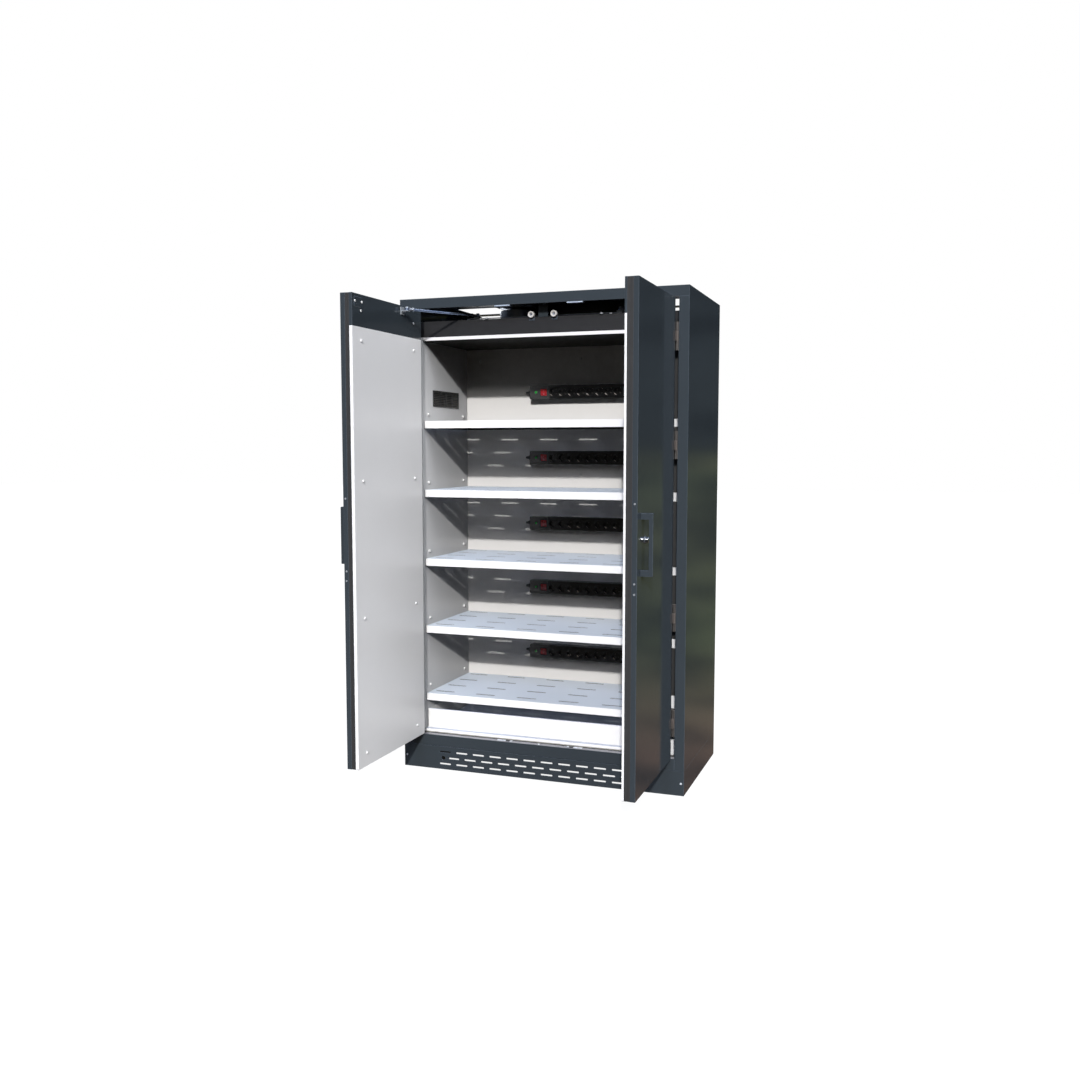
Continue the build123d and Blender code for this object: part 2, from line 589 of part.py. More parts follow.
def rocker_switch(number, centre):
    """Rocker resting on its lower half, on two trunnions seated in the strip."""
    turn = radians(SWITCH_TILT)
    outline = []
    for y, z in ROCKER_PROFILE:
        turned_y = y * cos(turn) - z * sin(turn)
        turned_z = y * sin(turn) + z * cos(turn)
        outline.append((ROCKER_PIVOT_Y + turned_y, centre + turned_z))
    with BuildPart() as rocker:
        with BuildSketch(Plane.YZ.offset(SWITCH_X - SWITCH_SIZE[0] / 2)):
            with BuildLine():
                Polyline(*outline, close=True)
            make_face()
        extrude(amount=SWITCH_SIZE[0])
        reach = SWITCH_SIZE[0] / 2 + TRUNNION_LENGTH
        bar_x(ROCKER_PIVOT_Y, centre, SWITCH_X - reach, SWITCH_X + reach, TRUNNION_RADIUS)
    save(rocker, f"rocker_switch_{number}")


def strip_lamps():
    """Round pilot lamp on the control end of each strip."""
    with BuildPart() as lamps:
        for top in SHELF_TOPS:
            bar_y(LAMP_X, top + STRIP_RISE, CAP_FRONT - LAMP_PROUD, CAP_FRONT, LAMP_RADIUS)
    save(lamps, "strip_lamps")


# ---------------------------------------------------------------- head compartment
BUFFER_X = 47.5
BUFFER_Z = FASCIA_TOP + 9.0
BUFFER_RADIUS = 13.3
BUFFER_HOLE = 4.5
BUFFER_CLEARANCE = 1.0           # from the closed leaf
BUFFER_FRONT = HINGE_Y + HINGE_X - DOOR_INNER + BUFFER_CLEARANCE
BUFFER_PLATE = (12.0, BUFFER_Z - 22.0, BUFFER_Z + 10.0)
STRIKE_X = (118.0, 182.0)
STRIKE_Y = (FRONT + 1.0, FRONT + 25.0)
STRIKE_THICKNESS = 5.0


def door_buffers():
    """White nylon rings that the closing doors come to rest against."""
    with BuildPart() as rings:
        for x in (-BUFFER_X, BUFFER_X):
            bar_y(x, BUFFER_Z, BUFFER_FRONT, ROOM_FRONT - SHEET, BUFFER_RADIUS)
            bar_y(x, BUFFER_Z, BUFFER_FRONT, ROOM_FRONT - SHEET, BUFFER_HOLE, mode=Mode.SUBTRACT)
    save(rings, "door_buffers")


def strike_plates():
    """Bright plates: latch strikes under the beam and the backs of the buffers."""
    half, low, high = BUFFER_PLATE
    with BuildPart() as plates:
        for side in (-1, 1):
            strike = (side * STRIKE_X[0], side * STRIKE_X[1])
            block(*strike, *STRIKE_Y, BEAM_BOTTOM - STRIKE_THICKNESS, BEAM_BOTTOM)
            across = (side * BUFFER_X - half, side * BUFFER_X + half)
            block(*across, ROOM_FRONT - SHEET, ROOM_FRONT, low, high)
    save(plates, "strike_plates")


def closer_rails():
    """Guide bar on two posts for each door closer."""
    bar = (RAIL_Y - GUIDE_WIDTH / 2, RAIL_Y + GUIDE_WIDTH / 2)
    with BuildPart() as rails:
        for side in (-1, 1):
            outer, inner = (side * end for end in GUIDE_ENDS)
            block(outer, inner, *bar, GUIDE_Z, GUIDE_Z + GUIDE_THICKNESS)
            block(outer, outer + side * GUIDE_POST, *bar, FASCIA_TOP, GUIDE_Z + GUIDE_THICKNESS)
            block(inner, inner - side * GUIDE_POST, *bar, FASCIA_TOP, GUIDE_Z + GUIDE_THICKNESS)
    save(rails, "closer_rails")


def closer_sliders():
    """Slider that wraps the guide bar and carries the pivot pin of the rod."""
    half_slot = GUIDE_WIDTH / 2 + SLIDER_PLAY
    half_width = half_slot + SLIDER_WALL
    slot_z = (GUIDE_Z - SLIDER_LIFT, GUIDE_Z + GUIDE_THICKNESS + SLIDER_LIFT)
    pin_bottom = ROD_Z - EYE_HEIGHT / 2 - EYE_GAP
    with BuildPart() as slider:
        ends = (SLIDER_X - SLIDER_LENGTH / 2, SLIDER_X + SLIDER_LENGTH / 2)
        block(*ends, RAIL_Y - half_width, RAIL_Y + half_width, slot_z[0] - SHEET, pin_bottom)
        block(*ends, RAIL_Y - half_slot, RAIL_Y + half_slot, *slot_z, mode=Mode.SUBTRACT)
        closer_pin(SLIDER_X, RAIL_Y, pin_bottom)
    save_pair(slider, "closer_slider")


def closer_pin(x, y, bottom):
    """Upright pivot pin with a cap above the rod's eye, added to the part being built."""
    top = ROD_Z + EYE_HEIGHT / 2 + EYE_GAP
    post(x, y, bottom, top, CLOSER_PIN_RADIUS)
    post(x, y, top, top + PIN_CAP_HEIGHT, PIN_CAP_RADIUS)


def closer_rods():
    """Steel rod with an eye at each end."""
    run = (SLIDER_X - STUD_X, RAIL_Y - STUD_Y)
    length = hypot(*run)
    heading = degrees(atan2(run[1], run[0]))
    middle = (STUD_X + run[0] / 2, STUD_Y + run[1] / 2, ROD_Z)
    with BuildPart() as rod:
        with Locations(Location(middle, (0, 0, heading))):
            Cylinder(ROD_RADIUS, length, rotation=(0, 90, 0))
        for x, y in ((STUD_X, STUD_Y), (SLIDER_X, RAIL_Y)):
            post(x, y, ROD_Z - EYE_HEIGHT / 2, ROD_Z + EYE_HEIGHT / 2, EYE_RADIUS)
        for x, y in ((STUD_X, STUD_Y), (SLIDER_X, RAIL_Y)):
            bore = (ROD_Z - EYE_HEIGHT / 2, ROD_Z + EYE_HEIGHT / 2, CLOSER_PIN_RADIUS + RUNNING_FIT)
            post(x, y, *bore, mode=Mode.SUBTRACT)
    save_pair(rod, "closer_rod")


# ---------------------------------------------------------------- doors
HEEL_LENGTH = hypot(DOOR_THICKNESS, DOOR_INNER_HEEL - DOOR_OUTER_HEEL)
HEEL_ALONG = (-DOOR_THICKNESS / HEEL_LENGTH, (DOOR_INNER_HEEL - DOOR_OUTER_HEEL) / HEEL_LENGTH)
HEEL_OUT = (HEEL_ALONG[1], -HEEL_ALONG[0])


def heel_y(x, inset=0.0):
    """Y of the slanted hinge-side edge at a given X, moved inward by an inset."""
    slope = (DOOR_INNER_HEEL - DOOR_OUTER_HEEL) / -DOOR_THICKNESS
    return DOOR_OUTER_HEEL + (x - DOOR_OUTER) * slope - inset / HEEL_OUT[1]


def leaf_outline(x_from, x_to, y_from, inset):
    """Plan of the leaf between two faces, with the slanted heel."""
    Polygon((x_from, y_from), (x_to, y_from), (x_to, heel_y(x_to, inset)),
            (x_from, heel_y(x_from, inset)), align=None)


LATCH_COVER_Y = (DOOR_FREE_EDGE + 15.0, DOOR_FREE_EDGE + 76.0)
LATCH_COVER_Z = (FASCIA_TOP - 10.0, FASCIA_TOP + 25.0)
LATCH_COVER_THICKNESS = 1.0


def door_skin(seal_width):
    """Painted outer pan of a leaf, closed at the head around the inner side."""
    seal = (DOOR_OUTER - PAINTED_RETURN - seal_width, DOOR_OUTER - PAINTED_RETURN)
    face_in = DOOR_INNER + DOOR_SHEET
    edge_in = DOOR_FREE_EDGE + DOOR_SHEET
    with BuildPart() as skin:
        with BuildSketch(Plane.XY.offset(DOOR_BOTTOM)):
            leaf_outline(DOOR_INNER, DOOR_OUTER, DOOR_FREE_EDGE, 0)
        extrude(amount=DOOR_TOP - DOOR_BOTTOM)
        with BuildSketch(Plane.XY.offset(DOOR_BOTTOM + DOOR_SHEET)):
            leaf_outline(face_in, DOOR_OUTER - DOOR_SHEET, edge_in, DOOR_SHEET)
        extrude(amount=DOOR_TOP - DOOR_BOTTOM - 2 * DOOR_SHEET, mode=Mode.SUBTRACT)
        block(DOOR_INNER, face_in, DOOR_FREE_EDGE, DOOR_INNER_HEEL, DOOR_BOTTOM, DOOR_SPLIT,
              mode=Mode.SUBTRACT)
        block(DOOR_INNER, seal[1], DOOR_FREE_EDGE, edge_in, DOOR_BOTTOM, DOOR_SPLIT,
              mode=Mode.SUBTRACT)
        block(*seal, DOOR_FREE_EDGE, edge_in, DOOR_SPLIT, DOOR_TOP, mode=Mode.SUBTRACT)
        cover = (DOOR_INNER - LATCH_COVER_THICKNESS, DOOR_INNER)
        block(*cover, *LATCH_COVER_Y, *LATCH_COVER_Z)
    return skin


def door_core():
    """Insulation filling of a leaf."""
    edge = DOOR_FREE_EDGE + SEAL_RECESS
    with BuildPart() as core:
        with BuildSketch(Plane.XY.offset(DOOR_BOTTOM + DOOR_SHEET)):
            leaf_outline(DOOR_INNER + DOOR_SHEET, DOOR_OUTER - DOOR_SHEET, edge, DOOR_SHEET)
        extrude(amount=DOOR_TOP - DOOR_BOTTOM - 2 * DOOR_SHEET)
    return core


def door_inner_panel(seal_width):
    """Light inner sheet below the head, folded over the free edge."""
    inner_return = DOOR_THICKNESS - PAINTED_RETURN - seal_width
    with BuildPart() as panel:
        face = (DOOR_INNER, DOOR_INNER + DOOR_SHEET)
        block(*face, DOOR_FREE_EDGE, DOOR_INNER_HEEL - DOOR_SHEET / 2, DOOR_BOTTOM, DOOR_SPLIT)
        fold = (DOOR_INNER, DOOR_INNER + inner_return)
        edge = (DOOR_FREE_EDGE, DOOR_FREE_EDGE + DOOR_SHEET)
        block(*fold, *edge, DOOR_BOTTOM + DOOR_SHEET, DOOR_SPLIT)
    return panel


def door_seal(seal_width):
    """Grooved heat-swelling strip set in the free edge."""
    outer = DOOR_OUTER - PAINTED_RETURN
    edge = (DOOR_FREE_EDGE + SEAL_SETBACK, DOOR_FREE_EDGE + SEAL_RECESS)
    height = (DOOR_BOTTOM + DOOR_SHEET, DOOR_TOP - DOOR_SHEET)
    groove = (outer - seal_width * 2 / 3, outer - seal_width / 3)
    with BuildPart() as strip:
        block(outer - seal_width, outer, *edge, *height)
        block(*groove, edge[0], edge[0] + DOOR_SHEET, *height, mode=Mode.SUBTRACT)
    return strip


SCREW_PLACES = (DOOR_FREE_EDGE + 63.0, DOOR_INNER_HEEL - 67.0)
SCREW_SHARES = (0.0306, 0.3436, 0.6563, 0.9701)      # between the two ends of the inner panel
SCREW_HEIGHTS = [DOOR_BOTTOM + share * (DOOR_SPLIT - DOOR_BOTTOM) for share in SCREW_SHARES]
SCREW_RADIUS = 5.0
SCREW_HEAD = 3.0
COVER_RIVET_Y = (DOOR_FREE_EDGE + 19.0, DOOR_FREE_EDGE + 69.0)
COVER_RIVET_Z = FASCIA_TOP + 9.0
HEAD_RIVET_Z = FASCIA_TOP - 22.0
RIVET_RADIUS = 3.5
RIVET_PROUD = 1.5
EDGE_SCREW_HEIGHTS = (849.0, 884.0, 1149.0)
EDGE_SCREW_INSET = 9.0
EDGE_SCREW_PROUD = 1.0
STUD_PLATE = 30.0
TONGUE_THICKNESS = 3.0
# distance from the hinge axis to the slanted heel of the leaf
HEEL_GAP = (HINGE_X - DOOR_OUTER) * HEEL_OUT[0] + (HINGE_Y - DOOR_OUTER_HEEL) * HEEL_OUT[1]
STRAP_OVERLAP = 2.0              # how far a strap runs into its knuckle


def hinge_middle(height):
    """Lower and upper end of the moving knuckle of a hinge."""
    return height - KNUCKLE_LENGTH / 2, height + KNUCKLE_LENGTH / 2


def door_fittings():
    """Bright fittings of a leaf: panel screws, rivets, closer bracket and hinge leaves."""
    with BuildPart() as fittings:
        for y in SCREW_PLACES:
            for z in SCREW_HEIGHTS:
                bar_x(y, z, DOOR_INNER - SCREW_HEAD, DOOR_INNER, SCREW_RADIUS)
        cover = DOOR_INNER - LATCH_COVER_THICKNESS
        for y in COVER_RIVET_Y:
            bar_x(y, COVER_RIVET_Z, cover - RIVET_PROUD, cover, RIVET_RADIUS)
        for y in SCREW_PLACES:
            bar_x(y, HEAD_RIVET_Z, DOOR_INNER - RIVET_PROUD, DOOR_INNER, RIVET_RADIUS)
        for z in EDGE_SCREW_HEIGHTS:
            head = (DOOR_FREE_EDGE - EDGE_SCREW_PROUD, DOOR_FREE_EDGE, RIVET_RADIUS)
            bar_y(DOOR_OUTER - EDGE_SCREW_INSET, z, *head)
        closer_bracket()
        for height in HINGE_HEIGHTS:
            door_knuckle(*hinge_middle(height))
    return fittings


def closer_bracket():
    """Angle on the inner face of the leaf with the pin for the closer rod."""
    tongue_top = ROD_Z - EYE_HEIGHT / 2 - EYE_GAP
    half = STUD_PLATE / 2
    plate_z = (tongue_top - half, tongue_top + half)
    block(DOOR_INNER - SHEET, DOOR_INNER, STUD_Y - half, STUD_Y + half, *plate_z)
    reach = (STUD_X - EYE_RADIUS, DOOR_INNER - SHEET)
    block(*reach, STUD_Y - EYE_RADIUS, STUD_Y + EYE_RADIUS, tongue_top - TONGUE_THICKNESS, tongue_top)
    closer_pin(STUD_X, STUD_Y, tongue_top)


def door_knuckle(bottom, top):
    """Moving knuckle of a hinge with the strap that reaches the heel of the leaf."""
    foot = (HINGE_X - HEEL_OUT[0] * HEEL_GAP, HINGE_Y - HEEL_OUT[1] * HEEL_GAP)
    middle_z = (bottom + top) / 2
    turn = degrees(atan2(HEEL_OUT[1], HEEL_OUT[0]))
    strap_length = HEEL_GAP - KNUCKLE_RADIUS + STRAP_OVERLAP
    strap_x = foot[0] + HEEL_OUT[0] * strap_length / 2
    strap_y = foot[1] + HEEL_OUT[1] * strap_length / 2
    post(HINGE_X, HINGE_Y, bottom, top, KNUCKLE_RADIUS)
    with Locations(Location((strap_x, strap_y, middle_z), (0, 0, turn))):
        Box(strap_length, LEAF_THICKNESS, top - bottom)
    plate_x = foot[0] + HEEL_OUT[0] * LEAF_THICKNESS / 2
    plate_y = foot[1] + HEEL_OUT[1] * LEAF_THICKNESS / 2
    with Locations(Location((plate_x, plate_y, middle_z), (0, 0, turn))):
        Box(LEAF_THICKNESS, STUD_PLATE, top - bottom)
    post(HINGE_X, HINGE_Y, bottom, top, HINGE_PIN_RADIUS + RUNNING_FIT, mode=Mode.SUBTRACT)


def frame_hinges():
    """Fixed hinge halves: leaf on the jamb, two knuckles and the pin between them."""
    leaf = (JAMB_X - LEAF_THICKNESS, JAMB_X)
    with BuildPart() as hinges:
        for height in HINGE_HEIGHTS:
            low, high = hinge_middle(height)
            bottom, top = height - HINGE_LENGTH / 2, height + HINGE_LENGTH / 2
            post(HINGE_X, HINGE_Y, bottom, low - KNUCKLE_GAP, KNUCKLE_RADIUS)
            post(HINGE_X, HINGE_Y, high + KNUCKLE_GAP, top, KNUCKLE_RADIUS)
            post(HINGE_X, HINGE_Y, low - KNUCKLE_GAP, high + KNUCKLE_GAP, HINGE_PIN_RADIUS)
            block(*leaf, HINGE_Y, FRONT_IN + JAMB_DEPTH, bottom, top)
            relief = KNUCKLE_RADIUS + KNUCKLE_GAP
            post(HINGE_X, HINGE_Y, low - KNUCKLE_GAP, high + KNUCKLE_GAP, relief, mode=Mode.SUBTRACT)
            post(HINGE_X, HINGE_Y, low - KNUCKLE_GAP, high + KNUCKLE_GAP, HINGE_PIN_RADIUS)
        add(mirror(hinges.part, about=Plane.YZ, mode=Mode.PRIVATE))
    save(hinges, "frame_hinges")


HANDLE_Z = (905.0, 1117.0)
HANDLE_Y = (DOOR_FREE_EDGE + 49.0, DOOR_FREE_EDGE + 69.0)
HANDLE_REACH = 41.0
HANDLE_BAR = 13.5
HANDLE_LEG = 21.0
HANDLE_CORNER = 3.0
LOCK_Y = DOOR_FREE_EDGE + 103.0
LOCK_Z = 1024.0
LOCK_RADIUS = 9.5
LOCK_REACH = 14.0
LOCK_BEVEL = 1.5
KEY_SLOT = (2.4, 10.0, 7.0)      # width, height and depth


def door_handles():
    """Square-section pull handle on the outer face of each leaf."""
    low, high = HANDLE_Z
    outer = DOOR_OUTER + HANDLE_REACH
    with BuildPart() as handle:
        block(DOOR_OUTER, outer, *HANDLE_Y, low, low + HANDLE_LEG)
        block(DOOR_OUTER, outer, *HANDLE_Y, high - HANDLE_LEG, high)
        block(outer - HANDLE_BAR, outer, *HANDLE_Y, low + HANDLE_LEG, high - HANDLE_LEG)
        fillet(handle.edges().filter_by(Axis.Y).group_by(Axis.X)[-1], radius=HANDLE_CORNER)
    save_pair(handle, "door_handle")


def lock_cylinder():
    """Round key cylinder beside the right-hand handle, slotted for its key."""
    with BuildPart() as cylinder:
        bar_x(LOCK_Y, LOCK_Z, DOOR_OUTER + RUNNING_FIT, DOOR_OUTER + LOCK_REACH, LOCK_RADIUS)
        rim = cylinder.edges().filter_by(GeomType.CIRCLE).sort_by(Axis.X)[-1]
        chamfer(rim, length=LOCK_BEVEL)
        wide, tall, deep = KEY_SLOT
        slot = (DOOR_OUTER + LOCK_REACH - deep, DOOR_OUTER + LOCK_REACH)
        block(*slot, LOCK_Y - wide / 2, LOCK_Y + wide / 2, LOCK_Z - tall / 2, LOCK_Z + tall / 2,
              mode=Mode.SUBTRACT)
    save(cylinder, "lock_cylinder")


def doors():
    """Both leaves; the seal is wider on the right-hand one."""
    save(door_skin(RIGHT_SEAL), "door_skin_right")
    save_mirrored(door_skin(LEFT_SEAL), "door_skin_left")
    save(door_inner_panel(RIGHT_SEAL), "door_inner_panel_right")
    save_mirrored(door_inner_panel(LEFT_SEAL), "door_inner_panel_left")
    save(door_seal(RIGHT_SEAL), "door_seal_right")
    save_mirrored(door_seal(LEFT_SEAL), "door_seal_left")
    save_pair(door_core(), "door_core")
    save_pair(door_fittings(), "door_fittings")

# ---------------------------------------------------------------- build everything
side_panels()
rear_panel()
roof_panel()
top_beam()
base_frame()
levelling_feet()
plinth_panel()
bottom_rail()
frame_seals()
exhaust_duct()
inner_walls()
inner_back()
inner_ceiling()
inner_floor()
fascia()
insulation()
vent_grilles()
for shelf_number, shelf_top in enumerate(SHELF_TOPS, start=1):
    shelf(shelf_number, shelf_top)
    power_strip(shelf_number, shelf_top + STRIP_RISE)
    rocker_switch(shelf_number, shelf_top + STRIP_RISE)
shelf_supports()
sump_tray()
strip_lamps()
door_buffers()
strike_plates()
closer_rails()
closer_sliders()
closer_rods()
doors()
frame_hinges()
door_handles()
lock_cylinder()
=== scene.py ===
import json
import math

import bmesh
import bpy
from mathutils import Matrix, Vector


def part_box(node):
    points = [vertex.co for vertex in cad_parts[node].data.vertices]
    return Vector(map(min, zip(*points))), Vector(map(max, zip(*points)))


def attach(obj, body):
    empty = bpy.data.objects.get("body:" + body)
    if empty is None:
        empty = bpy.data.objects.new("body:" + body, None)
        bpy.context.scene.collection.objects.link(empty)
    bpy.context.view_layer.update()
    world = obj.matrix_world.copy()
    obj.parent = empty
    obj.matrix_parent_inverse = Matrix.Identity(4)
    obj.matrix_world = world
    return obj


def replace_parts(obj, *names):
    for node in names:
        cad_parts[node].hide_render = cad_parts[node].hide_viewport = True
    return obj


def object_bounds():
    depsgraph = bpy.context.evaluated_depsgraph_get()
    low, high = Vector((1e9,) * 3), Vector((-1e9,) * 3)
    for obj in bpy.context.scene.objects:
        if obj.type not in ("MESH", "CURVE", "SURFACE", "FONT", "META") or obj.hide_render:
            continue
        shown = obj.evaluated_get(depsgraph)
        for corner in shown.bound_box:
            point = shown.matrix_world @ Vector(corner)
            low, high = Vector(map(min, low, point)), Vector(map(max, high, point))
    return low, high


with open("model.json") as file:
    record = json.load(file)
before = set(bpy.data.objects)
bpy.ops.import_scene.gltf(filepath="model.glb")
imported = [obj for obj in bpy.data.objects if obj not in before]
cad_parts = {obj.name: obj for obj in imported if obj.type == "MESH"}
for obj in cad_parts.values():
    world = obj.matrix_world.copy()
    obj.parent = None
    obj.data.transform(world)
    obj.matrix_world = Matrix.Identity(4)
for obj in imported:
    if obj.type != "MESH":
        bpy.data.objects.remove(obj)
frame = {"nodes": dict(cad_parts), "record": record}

at_load = [list(corner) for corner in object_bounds()]
scene = bpy.context.scene
scene.view_settings.view_transform = "Standard"

# Lengths are in metres, in the frame's own axes: x to the right, y to the back, z up.
SIDES = {"left": -1, "right": 1}           # sign of x on each side
LEVELS = range(1, 6)             # shelves and power strips are numbered from the top


# ---------------------------------------------------------------- node tools

AXES = {"x": 0, "y": 1, "z": 2}


def add(tree, kind, values=(), links=(), **props):
    """A shader node with its properties, plain socket values and incoming links."""
    made = tree.nodes.new(kind)
    for name, value in props.items():
        setattr(made, name, value)
    for socket, value in dict(values).items():
        made.inputs[socket].default_value = value
    for socket, source in dict(links).items():
        tree.links.new(source, made.inputs[socket])
    return made


def rgba(colour):
    """A colour with full opacity."""
    return (*colour, 1.0)


def grey(level):
    """A neutral colour."""
    return (level, level, level)


def ramp(tree, source, stops):
    """A colour ramp from (place, colour) stops."""
    made = add(tree, "ShaderNodeValToRGB", links={"Fac": source})
    table = made.color_ramp
    while len(table.elements) < len(stops):
        table.elements.new(0.5)
    for element, (place, colour) in zip(table.elements, stops):
        element.position = place
        element.color = rgba(colour)
    return made.outputs["Color"]


def grey_ramp(tree, source, span, first, last):
    """A ramp between two greys over a span of the source."""
    return ramp(tree, source, [(span[0], grey(first)), (span[1], grey(last))])


def mix_colour(tree, factor, first, second, blend="MIX"):
    """Mixes two colours; each is a plain colour or a socket."""
    made = add(tree, "ShaderNodeMix", data_type="RGBA", blend_type=blend)
    for socket, value in ((0, factor), (6, first), (7, second)):
        if isinstance(value, bpy.types.NodeSocket):
            tree.links.new(value, made.inputs[socket])
        else:
            made.inputs[socket].default_value = value if socket == 0 else rgba(value)
    return made.outputs[2]


def maths(tree, operation, first, second=None, third=None):
    """A sum, product or test of up to three numbers or sockets."""
    made = add(tree, "ShaderNodeMath", operation=operation)
    for socket, value in enumerate((first, second, third)):
        if isinstance(value, bpy.types.NodeSocket):
            tree.links.new(value, made.inputs[socket])
        elif value is not None:
            made.inputs[socket].default_value = value
    return made.outputs[0]


def component(tree, vector, axis):
    """One component of a vector socket."""
    return add(tree, "ShaderNodeSeparateXYZ", links={0: vector}).outputs[AXES[axis]]


def climb(tree, source, low, high):
    """0 below the low value, 1 above the high one, even in between."""
    return add(tree, "ShaderNodeMapRange", {"From Min": low, "From Max": high},
               {"Value": source}).outputs[0]


def drop(tree, source, low, high):
    """1 below the low value, 0 above the high one, even in between."""
    return add(tree, "ShaderNodeMapRange",
               {"From Min": low, "From Max": high, "To Min": 1.0, "To Max": 0.0},
               {"Value": source}).outputs[0]


def between(tree, source, low, high, blur=0.0004):
    """1 where a socket lies between two values, 0 outside, with a soft edge."""
    return maths(tree, "MULTIPLY", climb(tree, source, low - blur, low + blur),
                 drop(tree, source, high - blur, high + blur))


def noise(tree, where, scale, detail=3.0, stretch=None):
    """A noise pattern, drawn out along the axes if a stretch is given."""
    if stretch:
        where = add(tree, "ShaderNodeMapping", {"Scale": stretch},
                    {"Vector": where}).outputs[0]
    return add(tree, "ShaderNodeTexNoise", {"Scale": scale, "Detail": detail},
               {"Vector": where}).outputs["Fac"]


# -------------------------------------------------------- masks for materials

FACING = (0.5, 0.8)              # part of the normal at which a facing tint starts and is full
UPRIGHT = 0.5                    # rise of the normal below which a face counts as a wall
SLOT_RIM = (0.0014, 0.0024)      # from a slot's edge to where its painted shade rim starts and ends to fade


def facing_share(tree, normal, axis, sign):
    """1 on faces that look along an axis one way."""
    return climb(tree, maths(tree, "MULTIPLY", component(tree, normal, axis), sign), *FACING)


def wall_share(tree, where, normal, depth):
    """1 on upright faces further back than a depth."""
    back = maths(tree, "GREATER_THAN", component(tree, where, "y"), depth)
    rise = maths(tree, "ABSOLUTE", component(tree, normal, "z"))
    return maths(tree, "MULTIPLY", back, maths(tree, "LESS_THAN", rise, UPRIGHT))


def slot_share(tree, where, pitch, first, half, radius):
    """1 in and just around the long holes of an even grid seen from above."""
    squares = []
    for axis in ("x", "y"):
        index = AXES[axis]
        off = maths(tree, "SUBTRACT", component(tree, where, axis), first[index])
        off = maths(tree, "WRAP", off, pitch[index] / 2, -pitch[index] / 2)
        off = maths(tree, "SUBTRACT", maths(tree, "ABSOLUTE", off), half[index])
        off = maths(tree, "MAXIMUM", off, 0.0)
        squares.append(maths(tree, "MULTIPLY", off, off))
    away = maths(tree, "SQRT", maths(tree, "ADD", *squares))
    return drop(tree, away, *(radius + rim for rim in SLOT_RIM))


# ------------------------------------------------------------------ finishes

CLOUD_SCALE = 4.0                # noise scale of the slow drift in colour
CLOUD_SPAN = (0.35, 0.65)        # noise values over which the drift goes from dark to light
FINE_SCALE = 45.0                # noise scale of the specks in colour and gloss
FINE_SPAN = (0.3, 0.7)
FINE_DETAIL = 5.0
GRAIN_DETAIL = 2.0
RELIEF = 0.0004                  # depth that full bump strength stands for
BEND_SPAN = (0.86, 0.985)        # bend of an edge over which its painted edge shading fades out
MOST_EDGE_SHADING = 0.85
LEAST_ROUGH = 0.02
COAT_ROUGH = 0.1
SHEEN_ROUGH = 0.45
SHEEN_TINT = (0.60, 0.76, 1.0)


def surface(name, colour, rough, metal=0.0, grain=1100.0, bump=0.05, vary=0.05,
            rough_vary=0.05, edge=0.0015, painted_edge_shading=None, stretch=None, coat=0.0, specular=0.5,
            facing=(), zones=(), walls=None, slots=None, sheen=0.0):
    """A procedural finish: grain, drifting colour and gloss, rounded edges with painted edge
    shading.

    facing holds (axis, sign, colour) for faces that look one way, zones holds
    (axis, low, high, colour) for what lies between two widths, depths or heights,
    walls is (depth, colour) for upright faces further back than a depth, and slots is
    (pitch, first middle, half length, radius, colour) with the first three as (x, y)."""
    made = bpy.data.materials.new(name)
    made.use_nodes = True
    tree = made.node_tree
    tree.nodes.clear()
    where = add(tree, "ShaderNodeTexCoord").outputs["Object"]
    normal = add(tree, "ShaderNodeNewGeometry").outputs["Normal"]
    cloud = noise(tree, where, CLOUD_SCALE)
    fine = noise(tree, where, FINE_SCALE, FINE_DETAIL, stretch)
    tiny = noise(tree, where, grain, GRAIN_DETAIL, stretch)

    paint = mix_colour(tree, 0.0, colour, colour)
    for axis, sign, tint in facing:
        paint = mix_colour(tree, facing_share(tree, normal, axis, sign), paint, tint)
    for axis, low, high, tint in zones:
        share = between(tree, component(tree, where, axis), low, high)
        paint = mix_colour(tree, share, paint, tint)
    if walls:
        depth, tint = walls
        paint = mix_colour(tree, wall_share(tree, where, normal, depth), paint, tint)
    if slots:
        *grid, tint = slots
        paint = mix_colour(tree, slot_share(tree, where, *grid), paint, tint)

    drift = grey_ramp(tree, cloud, CLOUD_SPAN, 1 - vary, 1.0)
    paint = mix_colour(tree, 1.0, paint, drift, "MULTIPLY")
    speck = grey_ramp(tree, fine, FINE_SPAN, 1 - vary / 2, 1.0)
    paint = mix_colour(tree, 1.0, paint, speck, "MULTIPLY")
    bevel = add(tree, "ShaderNodeBevel", {"Radius": edge}, samples=4).outputs[0]
    # painted edge shading: a lighter painted highlight along rounded folds, on the pale liner and
    # the shelves a touch darker as painted shade
    if painted_edge_shading:
        bend = add(tree, "ShaderNodeVectorMath", links={0: bevel, 1: normal},
                   operation="DOT_PRODUCT").outputs["Value"]
        edge_shading_share = grey_ramp(tree, bend, BEND_SPAN, MOST_EDGE_SHADING, 0.0)
        paint = mix_colour(tree, edge_shading_share, paint, painted_edge_shading)

    gloss = grey_ramp(tree, fine, FINE_SPAN, max(LEAST_ROUGH, rough - rough_vary),
                      min(1.0, rough + rough_vary))
    relief = add(tree, "ShaderNodeBump", {"Strength": bump, "Distance": RELIEF},
                 {"Height": tiny, "Normal": bevel}).outputs[0]
    shader = add(tree, "ShaderNodeBsdfPrincipled",
                 {"Metallic": metal, "Coat Weight": coat, "Coat Roughness": COAT_ROUGH,
                  "Specular IOR Level": specular, "Sheen Weight": sheen,
                  "Sheen Roughness": SHEEN_ROUGH, "Sheen Tint": rgba(SHEEN_TINT)},
                 {"Base Color": paint, "Roughness": gloss, "Normal": relief})
    add(tree, "ShaderNodeOutputMaterial", links={"Surface": shader.outputs[0]})
    return made


SLATE = (0.0365, 0.0455, 0.054)
# painted highlight along the casing's folds
SLATE_EDGE_HIGHLIGHT = (0.12, 0.15, 0.19)
DARK = (0.006, 0.006, 0.0055)
MOULDING_BLACK = (0.004, 0.004, 0.0042)
MOULDING_GREY = (0.043, 0.043, 0.044)


